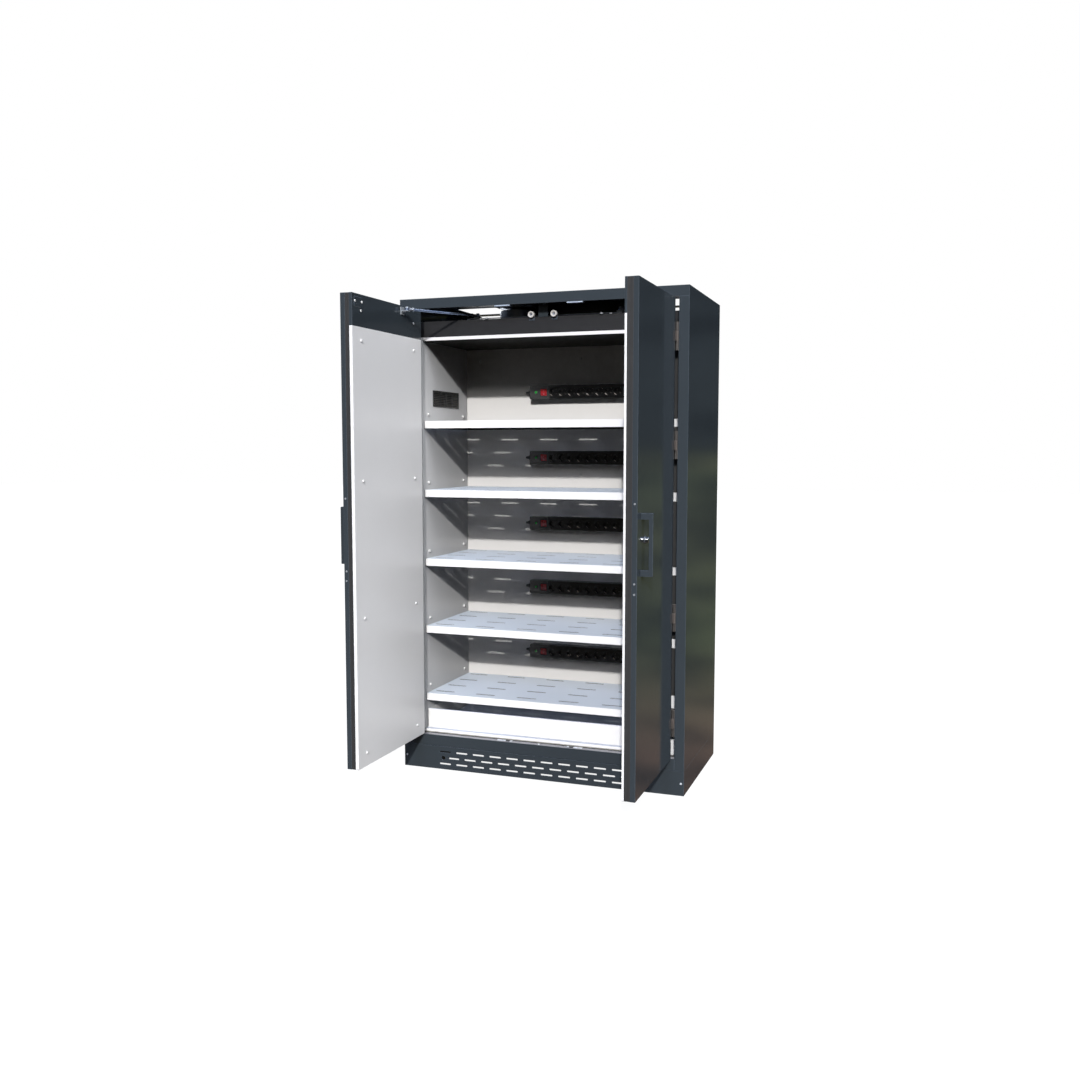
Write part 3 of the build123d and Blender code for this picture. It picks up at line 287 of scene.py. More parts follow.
def casing(name, **more):
    """The glossy slate paint of the casing, with a painted highlight along its folds."""
    return surface(name, SLATE, 0.12, painted_edge_shading=SLATE_EDGE_HIGHLIGHT, coat=0.1, bump=0.015, vary=0.025,
                   rough_vary=0.02, edge=0.0022, **more)


# the record's material slots
# the edge colours given here are painted highlights along rounded folds, on the pale liner a touch
# darker as painted shade
finishes = {
    "casing_paint": casing("casing_paint"),
    # painted light on the pale liner: undersides painted near black as shade, tops tinted pale
    # blue as painted skylight
    "liner_white": surface("liner_white", (0.93, 0.925, 0.92), 0.36, vary=0.02,
                           painted_edge_shading=(0.92, 0.92, 0.92),
                           facing=[("z", -1, DARK), ("z", 1, (0.80, 0.86, 1.0))]),
    "liner_grey": surface("liner_grey", (0.85, 0.85, 0.86), 0.36, vary=0.02,
                          painted_edge_shading=(0.93, 0.93, 0.93)),
    "fascia_dark": surface("fascia_dark", (0.020, 0.020, 0.0215), 0.42, vary=0.03,
                           specular=0.25, painted_edge_shading=(0.06, 0.06, 0.065)),
    "zinc": surface("zinc", (0.55, 0.60, 0.68), 0.34, metal=0.85, bump=0.03,
                    stretch=(1.0, 1.0, 8.0)),
    "hinge_steel": surface("hinge_steel", (0.060, 0.054, 0.050), 0.45, metal=0.3,
                           painted_edge_shading=(0.20, 0.18, 0.17)),
    "rod_steel": surface("rod_steel", (0.27, 0.33, 0.45), 0.28, metal=0.9, bump=0.03,
                         stretch=(0.2, 6.0, 6.0)),
    "lock_chrome": surface("lock_chrome", (0.75, 0.77, 0.80), 0.14, metal=1.0, bump=0.01,
                           rough_vary=0.04),
    "seal_black": surface("seal_black", (0.020, 0.020, 0.0205), 0.75, grain=900.0, bump=0.25),
    "board_mineral": surface("board_mineral", (0.52, 0.50, 0.46), 0.9, grain=500.0, bump=0.4),
    "nylon_white": surface("nylon_white", (0.60, 0.585, 0.57), 0.42, vary=0.03),
    "grille_black": surface("grille_black", (0.008, 0.008, 0.0085), 0.45,
                            painted_edge_shading=(0.02, 0.02, 0.02)),
    "strip_black": surface("strip_black", MOULDING_BLACK, 0.20, bump=0.02),
    "rocker_red": surface("rocker_red", (0.42, 0.012, 0.018), 0.28, bump=0.02),
    "lamp_green": surface("lamp_green", (0.03, 0.40, 0.06), 0.25, bump=0.02),
}

# finishes of the small pieces that only this script has
KEEPER_TABS = ((0.118, 0.124), (0.128, 0.144), (0.148, 0.160), (0.164, 0.182))
TAB_MARGIN = 0.0005
tab_low = KEEPER_TABS[1][0] - TAB_MARGIN
tab_high = KEEPER_TABS[1][1] + TAB_MARGIN
screw_paint = surface("screw_paint", (0.80, 0.80, 0.80), 0.30, bump=0.01, vary=0.02)
strip_grey = surface("strip_grey", MOULDING_GREY, 0.35, bump=0.04)
brass = surface("brass", (0.50, 0.44, 0.39), 0.42, metal=0.4, bump=0.02)
contact = surface("contact", (0.05, 0.042, 0.036), 0.35, metal=0.6, bump=0.02)
mark_paint = surface("mark_paint", (0.42, 0.20, 0.21), 0.4, bump=0.01)
nut_steel = surface("nut_steel", (0.22, 0.24, 0.28), 0.35, metal=0.7, bump=0.03)
keeper_zinc = surface("keeper_zinc", (0.66, 0.69, 0.74), 0.30, metal=0.3, bump=0.02,
                      zones=[("x", -tab_high, -tab_low, DARK), ("x", tab_low, tab_high, DARK)])

# finishes of single nodes, which differ from those of their slots
PLINTH_SCREWS = (-0.01, 0.0004)            # depths of the screw heads from the plinth's front
STRIKE_PAINTED_SHADE = (-0.270, -0.20)              # depths at which the strike plates carry painted shade, their rear part under the beam
LIP_BACK = -0.2365                         # behind it, a shelf's upright faces are slot walls, painted dark as shade
SLOT_PITCH = (0.184, 0.1203)               # of the shelf slots, across and to the back
SLOT_MIDDLE = (0.092, 0.05115)             # middle of one slot of the grid
SLOT_HALF = (0.0365, 0.0)                  # half the straight part of a slot
SLOT_RADIUS = 0.0045
CAP_PAST_ROCKER = 0.0105                   # grey cap of a strip, past its rocker switch
CAP_PAST_STRIP = 0.01                      # so that the cap's end face is grey too
HEAD_ABOVE_PANEL = 0.04                    # over a leaf's inner panel: its head fittings
STUD_DEPTHS = (-0.50, -0.44)               # on a leaf: the stud block of the closer
HINGE_DEPTHS = (-0.345, 0.0)               # on a leaf: its halves of the hinges

front_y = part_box("plinth_panel")[0].y
strip_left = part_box("power_strip_1")[0].x
cap_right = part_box("rocker_switch_1")[1].x + CAP_PAST_ROCKER
head_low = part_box("door_inner_panel_left")[1].z + HEAD_ABOVE_PANEL
top_z = at_load[1][2]

liner_side = surface("liner_side", (0.77, 0.775, 0.79), 0.33, vary=0.02)
slider_zinc = surface("slider_zinc", (0.40, 0.42, 0.45), 0.35, metal=0.3, bump=0.03)
# painted light on the shelves: undersides near black and the upright slot walls dark as painted
# shade, a dark painted shade rim round each slot, tops tinted pale blue as painted skylight
shelf_paint = surface("shelf_paint", (0.93, 0.93, 0.93), 0.36, vary=0.01, rough_vary=0.015,
                      bump=0.02, painted_edge_shading=(0.90, 0.90, 0.90), sheen=0.35,
                      facing=[("z", -1, DARK), ("z", 1, (0.87, 0.93, 1.0))],
                      walls=(LIP_BACK, DARK),
                      slots=(SLOT_PITCH, SLOT_MIDDLE, SLOT_HALF, SLOT_RADIUS, DARK))
strip_paint = surface("strip_moulding", MOULDING_BLACK, 0.20, bump=0.02,
                      zones=[("x", strip_left - CAP_PAST_STRIP, cap_right, MOULDING_GREY)])
own = {
    "inner_back": surface("liner_rear", (0.80, 0.785, 0.77), 0.45, vary=0.02),
    "inner_wall_left": liner_side,
    "inner_wall_right": liner_side,
    # the ceiling's underside is painted near black as shade
    "inner_ceiling": surface("liner_ceiling", (0.80, 0.785, 0.79), 0.40, vary=0.02,
                             specular=0.1, facing=[("z", -1, (0.006, 0.0055, 0.004))]),
    # the underframe's front faces, behind the plinth's openings, painted dark as shade
    "base_frame": casing("casing_underframe", facing=[("y", -1, DARK)]),
    # painted light: the sill's top face is painted a lighter blue grey, as lit from the sky above
    "bottom_rail": casing("casing_sill", facing=[("z", 1, (0.20, 0.20, 0.23))]),
    "plinth_panel": casing("casing_plinth", zones=[
        ("y", *(front_y + depth for depth in PLINTH_SCREWS), (0.55, 0.58, 0.62))]),
    "strike_plates": surface("zinc_bright", (0.50, 0.58, 0.70), 0.35, metal=0.2, bump=0.02,
                             zones=[("y", *STRIKE_PAINTED_SHADE, (0.07, 0.085, 0.11))]),
}
for number in LEVELS:
    own[f"shelf_{number}"] = shelf_paint
    own[f"power_strip_{number}"] = strip_paint
for side in SIDES:
    own[f"closer_slider_{side}"] = slider_zinc
    own[f"door_fittings_{side}"] = surface(
        f"fittings_{side}", (0.34, 0.36, 0.39), 0.34, metal=0.35, bump=0.02,
        zones=[("z", head_low, top_z, (0.10, 0.11, 0.13)),
               ("y", *STUD_DEPTHS, (0.40, 0.43, 0.46)),
               ("y", *HINGE_DEPTHS, (0.14, 0.12, 0.11))])

for part in frame["record"]["subparts"]:
    mesh = frame["nodes"][part["node"]].data
    mesh.materials.clear()
    mesh.materials.append(own.get(part["node"], finishes[part["material_slot"]]))

# the pale liner takes light but passes none on, so that the compartments stay deep
for name in ("inner_back", "inner_wall_left", "inner_wall_right", "inner_ceiling",
             "inner_floor", "sump_tray", "door_inner_panel_left", "door_inner_panel_right",
             *(f"shelf_{number}" for number in LEVELS)):
    frame["nodes"][name].visible_diffuse = False


# ---------------------------------------------------------------- mesh tools

SMOOTH_ANGLE = 32                # degrees up to which two faces are shaded as one


def lathe(mesh, centre, axis, profile, steps=24, loop=False):
    """Turned solid about an axis, from (radius, distance) pairs; a loop is a ring."""
    axis = Vector(axis).normalized()
    side = axis.orthogonal().normalized()
    other = axis.cross(side)
    turns = [2 * math.pi * step / steps for step in range(steps)]
    rings = []
    for radius, along in profile:
        middle = Vector(centre) + axis * along
        if radius == 0:
            rings.append([mesh.verts.new(middle)])
            continue
        rings.append([mesh.verts.new(middle + radius * (side * math.cos(t) + other * math.sin(t)))
                      for t in turns])
    following = rings[1:] + rings[:1] if loop else rings[1:]
    for low, high in zip(rings, following):
        for step in range(steps):
            after = (step + 1) % steps
            if len(low) == 1:
                mesh.faces.new((low[0], high[step], high[after]))
            elif len(high) == 1:
                mesh.faces.new((low[step], low[after], high[0]))
            else:
                mesh.faces.new((low[step], low[after], high[after], high[step]))


def brick(mesh, low, high, soften, turn=None):
    """Block between two corners with softened edges, moved by a matrix if one is given."""
    low, high = Vector(low), Vector(high)
    made = bmesh.ops.create_cube(mesh, size=1.0)["verts"]
    place = Matrix.Translation((low + high) / 2) @ Matrix.Diagonal((*(high - low), 1.0))
    bmesh.ops.transform(mesh, matrix=place, verts=made)
    edges = list(dict.fromkeys(edge for vert in made for edge in vert.link_edges))
    made = bmesh.ops.bevel(mesh, geom=edges, offset=soften, segments=2, profile=0.6,
                           affect="EDGES", clamp_overlap=True)["verts"]
    if turn:
        bmesh.ops.transform(mesh, matrix=turn, verts=made)


def prism(mesh, outline, matrix, width):
    """Flat outline in the (x, y) plane drawn out both ways along z, then placed."""
    ends = []
    for z in (-width / 2, width / 2):
        ends.append([mesh.verts.new(matrix @ Vector((x, y, z))) for x, y in outline])
    mesh.faces.new(ends[0])
    mesh.faces.new(list(reversed(ends[1])))
    count = len(outline)
    for corner in range(count):
        after = (corner + 1) % count
        mesh.faces.new((ends[0][corner], ends[0][after], ends[1][after], ends[1][corner]))


def screw(mesh, seat, out, radius, height, socket, depth):
    """Domed head with a round socket in its top."""
    lathe(mesh, seat, out, [(0, height - depth), (socket, height - depth), (socket, height),
                            (radius * 0.6, height * 0.96), (radius * 0.85, height * 0.8),
                            (radius * 0.97, height * 0.45), (radius, 0), (0, 0)])


def row(first, pitch, count):
    """Evenly spaced places."""
    return [first + pitch * step for step in range(count)]


def piece(name, body, material, mesh):
    """Turns a finished mesh into an object that rides on a body."""
    bmesh.ops.recalc_face_normals(mesh, faces=mesh.faces)
    data = bpy.data.meshes.new(name)
    mesh.to_mesh(data)
    mesh.free()
    data.polygons.foreach_set("use_smooth", [True] * len(data.polygons))
    data.set_sharp_from_angle(angle=math.radians(SMOOTH_ANGLE))
    data.materials.append(material)
    made = bpy.data.objects.new(name, data)
    scene.collection.objects.link(made)
    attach(made, body)
    return made


LEFT = (-1, 0, 0)
RIGHT = (1, 0, 0)
FRONT = (0, -1, 0)
BACK = (0, 1, 0)
UP = (0, 0, 1)

# heads: radius, height, and the radius and depth of the hollow in the top
PANEL_SCREW = (0.0060, 0.0042, 0.0018, 0.0011)
RIVET = (0.0045, 0.0026, 0.0010, 0.0008)
WALL_SCREW = (0.0068, 0.0056, 0.0020, 0.0013)
BACK_WALL_SCREW = (0.0055, 0.0030, 0.0016, 0.0010)
SILL_SCREW = (0.0040, 0.0020, 0.0012, 0.0008)
REAR_SCREW = (0.0060, 0.0014, 0.0022, 0.0009)
BUFFER_BOLT = (0.0043, 0.0085, 0.0020, 0.0022)


# ------------------------------------------------------------------- doors

PANEL_COLUMNS = (0.063, 0.0662)            # screw columns, from the panel's front and back edge
PANEL_ROWS = (0.0306, 0.3436, 0.6563, 0.9701)        # screw rows, as parts of its height
HEAD_RIVET_DROP = 0.022                    # rivets over the panel, below the fascia's top
COVER_RIVET_INSETS = (0.019, 0.069)        # latch cover rivets, from the panel's front edge
COVER_RIVET_RISE = 0.009                   # latch cover rivets, above the fascia's top
COVER_THICK = 0.001
head_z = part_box("fascia")[1].z


def panel_screws(side, sign):
    """Screws of a leaf's inner panel, and the rivets of its head and latch cover."""
    low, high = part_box(f"door_inner_panel_{side}")
    inward = Vector((-sign, 0, 0))
    face_x = high.x if side == "left" else low.x
    columns = (low.y + PANEL_COLUMNS[0], high.y - PANEL_COLUMNS[1])
    mesh = bmesh.new()
    for y in columns:
        for share in PANEL_ROWS:
            z = low.z + share * (high.z - low.z)
            screw(mesh, (face_x, y, z), inward, *PANEL_SCREW)
    for y in columns:
        screw(mesh, (face_x, y, head_z - HEAD_RIVET_DROP), inward, *RIVET)
    for inset in COVER_RIVET_INSETS:
        seat = Vector((face_x, low.y + inset, head_z + COVER_RIVET_RISE))
        screw(mesh, seat + inward * COVER_THICK, inward, *RIVET)
    piece(f"panel_screws_{side}", f"door_{side}", screw_paint, mesh)


def lock_rosette():
    """Raised ring round the lock cylinder."""
    low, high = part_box("lock_cylinder")
    middle = (low + high) / 2
    mesh = bmesh.new()
    lathe(mesh, (low.x, middle.y, middle.z), RIGHT,
          [(0.0098, 0.0), (0.0098, 0.0018), (0.0106, 0.0028), (0.0120, 0.0027),
           (0.0133, 0.0012), (0.0135, 0.0)], 40, loop=True)
    piece("lock_rosette", "door_right", nut_steel, mesh)


for side, sign in SIDES.items():
    panel_screws(side, sign)
lock_rosette()


# ------------------------------------------------------- screws of the casing

SHELF_TO_WALL = 0.003
WALL_SCREW_RISE = 0.028                    # above the shelf
WALL_SCREW_FRONT = 0.041                   # behind the shelf's front edge
WALL_SCREW_REAR = 0.049                    # before the wall that the strips hang on
BACK_WALL_COLUMNS = row(-0.460, 0.4735, 3)
BACK_WALL_ROWS = row(0.715, 0.502, 3)
REAR_COLUMNS = row(-0.435, 0.290, 4)       # on the pressed ribs of the rear panel
REAR_ROWS = row(0.1, 0.2, 5)               # as parts of the rear panel's height
REAR_RIB = 0.0015                          # depth of its ribs


def wall_screws():
    """Screws over the shelves on both side walls, and those of the back wall."""
    mesh = bmesh.new()
    shelf_low, shelf_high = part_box("shelf_1")
    wall_x = shelf_high.x + SHELF_TO_WALL
    strip_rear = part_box("power_strip_1")[1].y
    for number in LEVELS:
        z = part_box(f"shelf_{number}")[1].z + WALL_SCREW_RISE
        for sign in SIDES.values():
            for y in (shelf_low.y + WALL_SCREW_FRONT, strip_rear - WALL_SCREW_REAR):
                screw(mesh, (sign * wall_x, y, z), (-sign, 0, 0), *WALL_SCREW)
    rear_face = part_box("inner_back")[0].y
    for z in BACK_WALL_ROWS:
        for x in BACK_WALL_COLUMNS:
            screw(mesh, (x, rear_face, z), FRONT, *BACK_WALL_SCREW)
    piece("wall_screws", "cabinet", screw_paint, mesh)


def rear_screws():
    """Flat screws along the ribs of the rear panel."""
    mesh = bmesh.new()
    low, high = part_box("rear_panel")
    for x in REAR_COLUMNS:
        for share in REAR_ROWS:
            z = low.z + share * (high.z - low.z)
            screw(mesh, (x, high.y - REAR_RIB, z), BACK, *REAR_SCREW)
    piece("rear_screws", "cabinet", finishes["zinc"], mesh)


# ------------------------------------------------------------- sill and duct

KEEPER_X = 0.150
KEEPER_Y = -0.2855
PLATE_HALF = (0.032, 0.007)                # half length and half depth of a keeper's plate
PLATE_HEIGHTS = (-0.0002, 0.0008)          # its foot and top, from the rail's top
PLATE_SOFT = 0.0003                        # rounding of its edges
TAB_HALF = 0.004                           # half depth of the tabs on it
TAB_HEIGHTS = (0.0004, 0.0024)
TAB_SOFT = 0.0007
SILL_SCREW_Y = -0.292
CLAMP_BELOW_TOP = 0.020                    # middle of the clamp, below the end of the spigot
BLOCK_HALF = (0.009, 0.0055)               # half width and height of the tension block
BLOCK_DEPTHS = (-0.0475, -0.0380)          # the block, before the spigot's axis
BLOCK_SOFT = 0.0015
CLAMP_BOLT_DEPTH = -0.0430
spigot = next(mount for mount in frame["record"]["mounts"] if mount["name"] == "exhaust_spigot")


def sill_keepers():
    """Two plates with raised tabs on the bottom rail, and the screw between them."""
    mesh = bmesh.new()
    rail_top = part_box("bottom_rail")[1].z
    foot, top = (rail_top + height for height in TAB_HEIGHTS)
    plate_foot, plate_top = (rail_top + height for height in PLATE_HEIGHTS)
    long, deep = PLATE_HALF
    for sign in SIDES.values():
        for tab in KEEPER_TABS:
            near, far = sorted(sign * x for x in tab)
            brick(mesh, (near, KEEPER_Y - TAB_HALF, foot), (far, KEEPER_Y + TAB_HALF, top),
                  TAB_SOFT)
        brick(mesh, (sign * KEEPER_X - long, KEEPER_Y - deep, plate_foot),
              (sign * KEEPER_X + long, KEEPER_Y + deep, plate_top), PLATE_SOFT)
    screw(mesh, (0.0, SILL_SCREW_Y, rail_top), UP, *SILL_SCREW)
    piece("sill_keepers", "cabinet", keeper_zinc, mesh)


def duct_clamp():
    """Beaded band round the exhaust spigot, with its tension block and hex bolt."""
    mesh = bmesh.new()
    x, y = spigot["pos_m"][:2]
    middle = Vector((x, y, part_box("exhaust_duct")[1].z - CLAMP_BELOW_TOP))
    lathe(mesh, middle, UP,
          [(0.0376, -0.006), (0.0384, -0.006), (0.0390, -0.0052), (0.0384, -0.0044),
           (0.0384, 0.0044), (0.0390, 0.0052), (0.0384, 0.006), (0.0376, 0.006)], 64, loop=True)
    wide, tall = BLOCK_HALF
    brick(mesh, middle + Vector((-wide, BLOCK_DEPTHS[0], -tall)),
          middle + Vector((wide, BLOCK_DEPTHS[1], tall)), BLOCK_SOFT)
    lathe(mesh, middle + Vector((wide, CLAMP_BOLT_DEPTH, 0.0)), RIGHT,
          [(0, 0.0), (0.0028, 0.0), (0.0028, 0.006), (0.0040, 0.006), (0.0040, 0.0105),
           (0, 0.0105)], 6)
    piece("duct_clamp", "cabinet", finishes["zinc"], mesh)


wall_screws()
sill_keepers()
rear_screws()
duct_clamp()


# ---------------------------------------------------------------- power strips

SOCKETS = 10
SOCKET_PITCH = 0.0414
SOCKET_MARGIN = 0.015            # from the last socket's field to the strip's right end
FACE_SET_BACK = 0.002            # the sockets' face, behind the cap's face
EARTH_CLIPS = ((45, 0.0036), (225, 0.0105))          # angle in the well, and width
CONTACT_ANGLES = (135, 315)
CONTACT_RADIUS = 0.0095          # contacts from the socket's middle
CONTACT_DEPTH = 0.014            # contacts behind the sockets' face
GLAND_STUB = 0.014               # from the strip's left end to its cap
GLAND_BEFORE_WALL = 0.018        # gland's axis, before the wall
NUT_BORE = 0.0052
NUT_ROOT = 0.0086                # radius between the ridges of the gland's nut
NUT_CREST = 0.0098
NUT_START = 0.0012               # first ridge, from the cap
NUT_PITCH = 0.0032
NUT_RIDGES = 4
SLEEVE_BORE = 0.0036
SLEEVE_RADIUS = 0.0072           # of the first ridge of the bend sleeve
SLEEVE_TAPER = 0.0005            # taken off its radius with each ridge
SLEEVE_GROOVE = 0.0014           # depth of the grooves between the ridges
SLEEVE_START = 0.0140
SLEEVE_PITCH = 0.0028
SLEEVE_RIDGES = 5
LAMP_INSET = 0.029               # lamp, from the cap's left edge
COVER_SCREW_INSETS = (0.007, 0.006)        # from the cap's left edge and the first field
COVER_SCREW_RISE = 0.023         # from the strip's middle height
FRAME_HALF = (0.0172, 0.0182)    # half width and half height of the rocker's frame
FRAME_BAR = 0.0024               # width of its bars
FRAME_LAP = 0.0002               # how far they run into each other
FRAME_PROUD = 0.0010
FRAME_SUNK = 0.0004
FRAME_SOFT = 0.0004
ROCKER_REST = 8                  # degrees that the rocker leans at rest
ROCKER_BEND = 7.85               # degrees that each half of its face leans from the middle
PIVOT_DEPTH = 0.005              # the rocker's pivot, behind the strip's face
PIVOT_TO_FACE = 0.006
LINE_HALF = (0.0006, 0.0003)     # half width and half thickness of the rocker's line mark
LINE_ENDS = (0.0040, 0.0095)     # from the middle of the rocker's face
LINE_SOFT = 0.00015
RING_DROP = 0.0073               # ring mark, from the middle of the rocker's face


def socket_rims(face, centre, columns):
    """Rounded ring round each socket well."""
    mesh = bmesh.new()
    for x in columns:
        lathe(mesh, (x, face, centre), FRONT,
              [(0.0183, -0.0004), (0.0183, 0.0006), (0.0188, 0.0012), (0.0194, 0.0011),
               (0.0199, 0.0004), (0.0199, -0.0004)], 40, loop=True)
    return mesh


def earth_clips(face, centre, columns):
    """Two bent spring clips in the wall of each well."""
    mesh = bmesh.new()
    for x in columns:
        for angle, width in EARTH_CLIPS:
            place = (Matrix.Translation((x, face, centre))
                     @ Matrix.Rotation(-math.radians(angle), 4, "Y"))
            prism(mesh, [(0.0184, 0.0010), (0.0178, 0.0008), (0.0172, 0.0034),
                         (0.0170, 0.0090), (0.0176, 0.0136), (0.0184, 0.0136)], place, width)
    return mesh


def socket_contacts(face, centre, columns):
    """Rims of the two contact holes in the floor of each well."""
    mesh = bmesh.new()
    for x in columns:
        for angle in CONTACT_ANGLES:
            turn = math.radians(angle)
            spot = (x + CONTACT_RADIUS * math.cos(turn), face + CONTACT_DEPTH,
                    centre + CONTACT_RADIUS * math.sin(turn))
            lathe(mesh, spot, FRONT,
                  [(0.0022, -0.0002), (0.0022, 0.0005), (0.0026, 0.0008), (0.0031, 0.0005),
                   (0.0031, -0.0002)], 20, loop=True)
    return mesh


def switch_frame(mesh, face, centre, switch_x):
    """Raised frame of four bars round the rocker switch."""
    wide, tall = FRAME_HALF
    window_wide, window_tall = (half - FRAME_BAR for half in FRAME_HALF)
    lap = window_wide + FRAME_LAP
    for x_from, x_to, z_from, z_to in ((-wide, -window_wide, -tall, tall),
                                       (window_wide, wide, -tall, tall),
                                       (-lap, lap, window_tall, tall),
                                       (-lap, lap, -tall, -window_tall)):
        brick(mesh, (switch_x + x_from, face - FRAME_PROUD, centre + z_from),
              (switch_x + x_to, face + FRAME_SUNK, centre + z_to), FRAME_SOFT)


def lamp_bezel(mesh, place):
    """Rounded ring round the pilot lamp."""
    lathe(mesh, place, FRONT,
          [(0.0060, -0.0003), (0.0060, 0.0012), (0.0066, 0.0018), (0.0076, 0.0012),
           (0.0080, -0.0003)], 32, loop=True)


def cable_gland(mesh, place):
    """Ridged nut and tapering bend sleeve at the strip's left end; no cable is drawn."""
    nut = [(NUT_BORE, 0.0), (NUT_ROOT, 0.0)]
    for along in row(NUT_START, NUT_PITCH, NUT_RIDGES):
        nut += [(NUT_ROOT, along), (NUT_CREST, along + 0.0005), (NUT_CREST, along + 0.0019),
                (NUT_ROOT, along + 0.0024)]
    nut += [(0.0074, 0.0145), (NUT_BORE, 0.0145)]
    lathe(mesh, place, LEFT, nut, 28, loop=True)
    sleeve = [(SLEEVE_BORE, SLEEVE_START)]
    for ridge, along in enumerate(row(SLEEVE_START, SLEEVE_PITCH, SLEEVE_RIDGES)):
        radius = SLEEVE_RADIUS - ridge * SLEEVE_TAPER
        groove = radius - SLEEVE_GROOVE
        sleeve += [(radius, along), (radius - 0.0002, along + 0.0018), (groove, along + 0.0020),
                   (groove, along + 0.0027)]
    sleeve.append((SLEEVE_BORE, 0.0282))
    lathe(mesh, place, LEFT, sleeve, 24, loop=True)


def cover_screws(mesh, face, centre, columns):
    """Small recessed screws at the corners of the grey cap."""
    for x in columns:
        for rise in (-COVER_SCREW_RISE, COVER_SCREW_RISE):
            lathe(mesh, (x, face, centre + rise), FRONT,
                  [(0, 0.0002), (0.0011, 0.0002), (0.0011, 0.0008), (0.0024, 0.0007),
                   (0.0027, 0.0), (0, 0.0)], 16)


def rocker_marks(face, centre, switch_x):
    """The plain line and ring on the two halves of the rocker's face."""
    mesh = bmesh.new()
    tilt = (Matrix.Translation((switch_x, face + PIVOT_DEPTH, centre))
            @ Matrix.Rotation(math.radians(ROCKER_REST), 4, "X")
            @ Matrix.Translation((0, -PIVOT_TO_FACE, 0)))
    upper = tilt @ Matrix.Rotation(-math.radians(ROCKER_BEND), 4, "X")
    lower = tilt @ Matrix.Rotation(math.radians(ROCKER_BEND), 4, "X")
    wide, thick = LINE_HALF
    brick(mesh, (-wide, -thick, LINE_ENDS[0]), (wide, thick, LINE_ENDS[1]), LINE_SOFT, upper)
    lathe(mesh, lower @ Vector((0, 0, -RING_DROP)), lower.to_3x3() @ Vector(FRONT),
          [(0.0019, -0.0003), (0.0019, 0.0003), (0.0028, 0.0003), (0.0028, -0.0003)], 28,
          loop=True)
    return mesh


def lamp_lens(place):
    """Domed green lens of the pilot lamp."""
    mesh = bmesh.new()
    lathe(mesh, place, FRONT,
          [(0, 0.0036), (0.0020, 0.0035), (0.0040, 0.0031), (0.0053, 0.0023),
           (0.0058, 0.0010), (0.0058, 0.0), (0, 0.0)], 32)
    return mesh


def power_strip(number):
    """Small pieces of one power strip."""
    low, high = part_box(f"power_strip_{number}")
    rocker_low, rocker_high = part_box(f"rocker_switch_{number}")
    switch_x = (rocker_low.x + rocker_high.x) / 2
    centre = (low.z + high.z) / 2
    cap_left = low.x + GLAND_STUB
    first = high.x - SOCKET_MARGIN - SOCKETS * SOCKET_PITCH
    columns = row(first + SOCKET_PITCH / 2, SOCKET_PITCH, SOCKETS)
    wells = (low.y + FACE_SET_BACK, centre, columns)
    lamp = (cap_left + LAMP_INSET, low.y, centre)

    trim = bmesh.new()
    switch_frame(trim, low.y, centre, switch_x)
    lamp_bezel(trim, lamp)
    cable_gland(trim, (cap_left, high.y - GLAND_BEFORE_WALL, centre))
    cover_screws(trim, low.y, centre,
                 (cap_left + COVER_SCREW_INSETS[0], first - COVER_SCREW_INSETS[1]))

    piece(f"socket_rims_{number}", "cabinet", finishes["strip_black"],
          socket_rims(*wells))
    piece(f"earth_clips_{number}", "cabinet", brass, earth_clips(*wells))
    piece(f"socket_contacts_{number}", "cabinet", contact, socket_contacts(*wells))
    piece(f"strip_trim_{number}", "cabinet", strip_grey, trim)
    piece(f"rocker_marks_{number}", f"rocker_{number}", mark_paint,
          rocker_marks(low.y, centre, switch_x))
    piece(f"lamp_lens_{number}", "cabinet", finishes["lamp_green"],
          lamp_lens(lamp))


for number in LEVELS:
    power_strip(number)


# ---------------------------------------------------------------- door closers

RING_RADIUS = 0.0133             # outer radius of a buffer ring
RING_BORE = 0.0045
BOLT_PROUD = 0.0002              # seat of a buffer bolt, before the ring's back
DECK_BOLTS = ((0.240, -0.243), (0.272, -0.226))      # (x, y) of the right pair
EYE = 0.009                      # from a closer rod's end to the middle of its eye
THREAD_BORE = 0.0040             # inside the rod, so that the thread has no open end
THREAD_ENDS = (0.0090, 0.0310)   # from the middle of the eye
THREAD_ROOT = 0.0050
THREAD_CREST = 0.0056
THREAD_START = 0.0095            # first turn, from the middle of the eye
THREAD_PITCH = 0.0015
THREAD_TURNS = 14


def door_buffers():
    """Moulded rings with a rounded rim, which replace the plain buffers, and their bolts."""
    low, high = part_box("door_buffers")
    middle_z = (low.z + high.z) / 2
    length = high.y - low.y
    rings, bolts = bmesh.new(), bmesh.new()
    for x in (low.x + RING_RADIUS, high.x - RING_RADIUS):
        lathe(rings, (x, high.y, middle_z), FRONT,
              [(RING_BORE, 0.0), (RING_RADIUS, 0.0), (RING_RADIUS, length - 0.0030),
               (0.0128, length - 0.0013), (0.0116, length - 0.0003), (0.0100, length),
               (0.0076, length - 0.0003), (0.0058, length - 0.0016),
               (RING_BORE, length - 0.0040)], 48, loop=True)
        screw(bolts, (x, high.y - BOLT_PROUD, middle_z), FRONT, *BUFFER_BOLT)
    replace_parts(piece("buffer_rings", "cabinet", finishes["nylon_white"], rings),
                "door_buffers")
    piece("buffer_bolts", "cabinet", finishes["rod_steel"], bolts)


def deck_bolts():
    """Hex bolts with washers on the floor of the head compartment."""
    mesh = bmesh.new()
    for sign in SIDES.values():
        for x, y in DECK_BOLTS:
            lathe(mesh, (sign * x, y, head_z), UP,
                  [(0, 0.0058), (0.0050, 0.0058), (0.0060, 0.0048), (0.0060, 0.0010),
                   (0.0078, 0.0010), (0.0078, 0.0), (0, 0.0)], 6)
    piece("deck_bolts", "cabinet", slider_zinc, mesh)


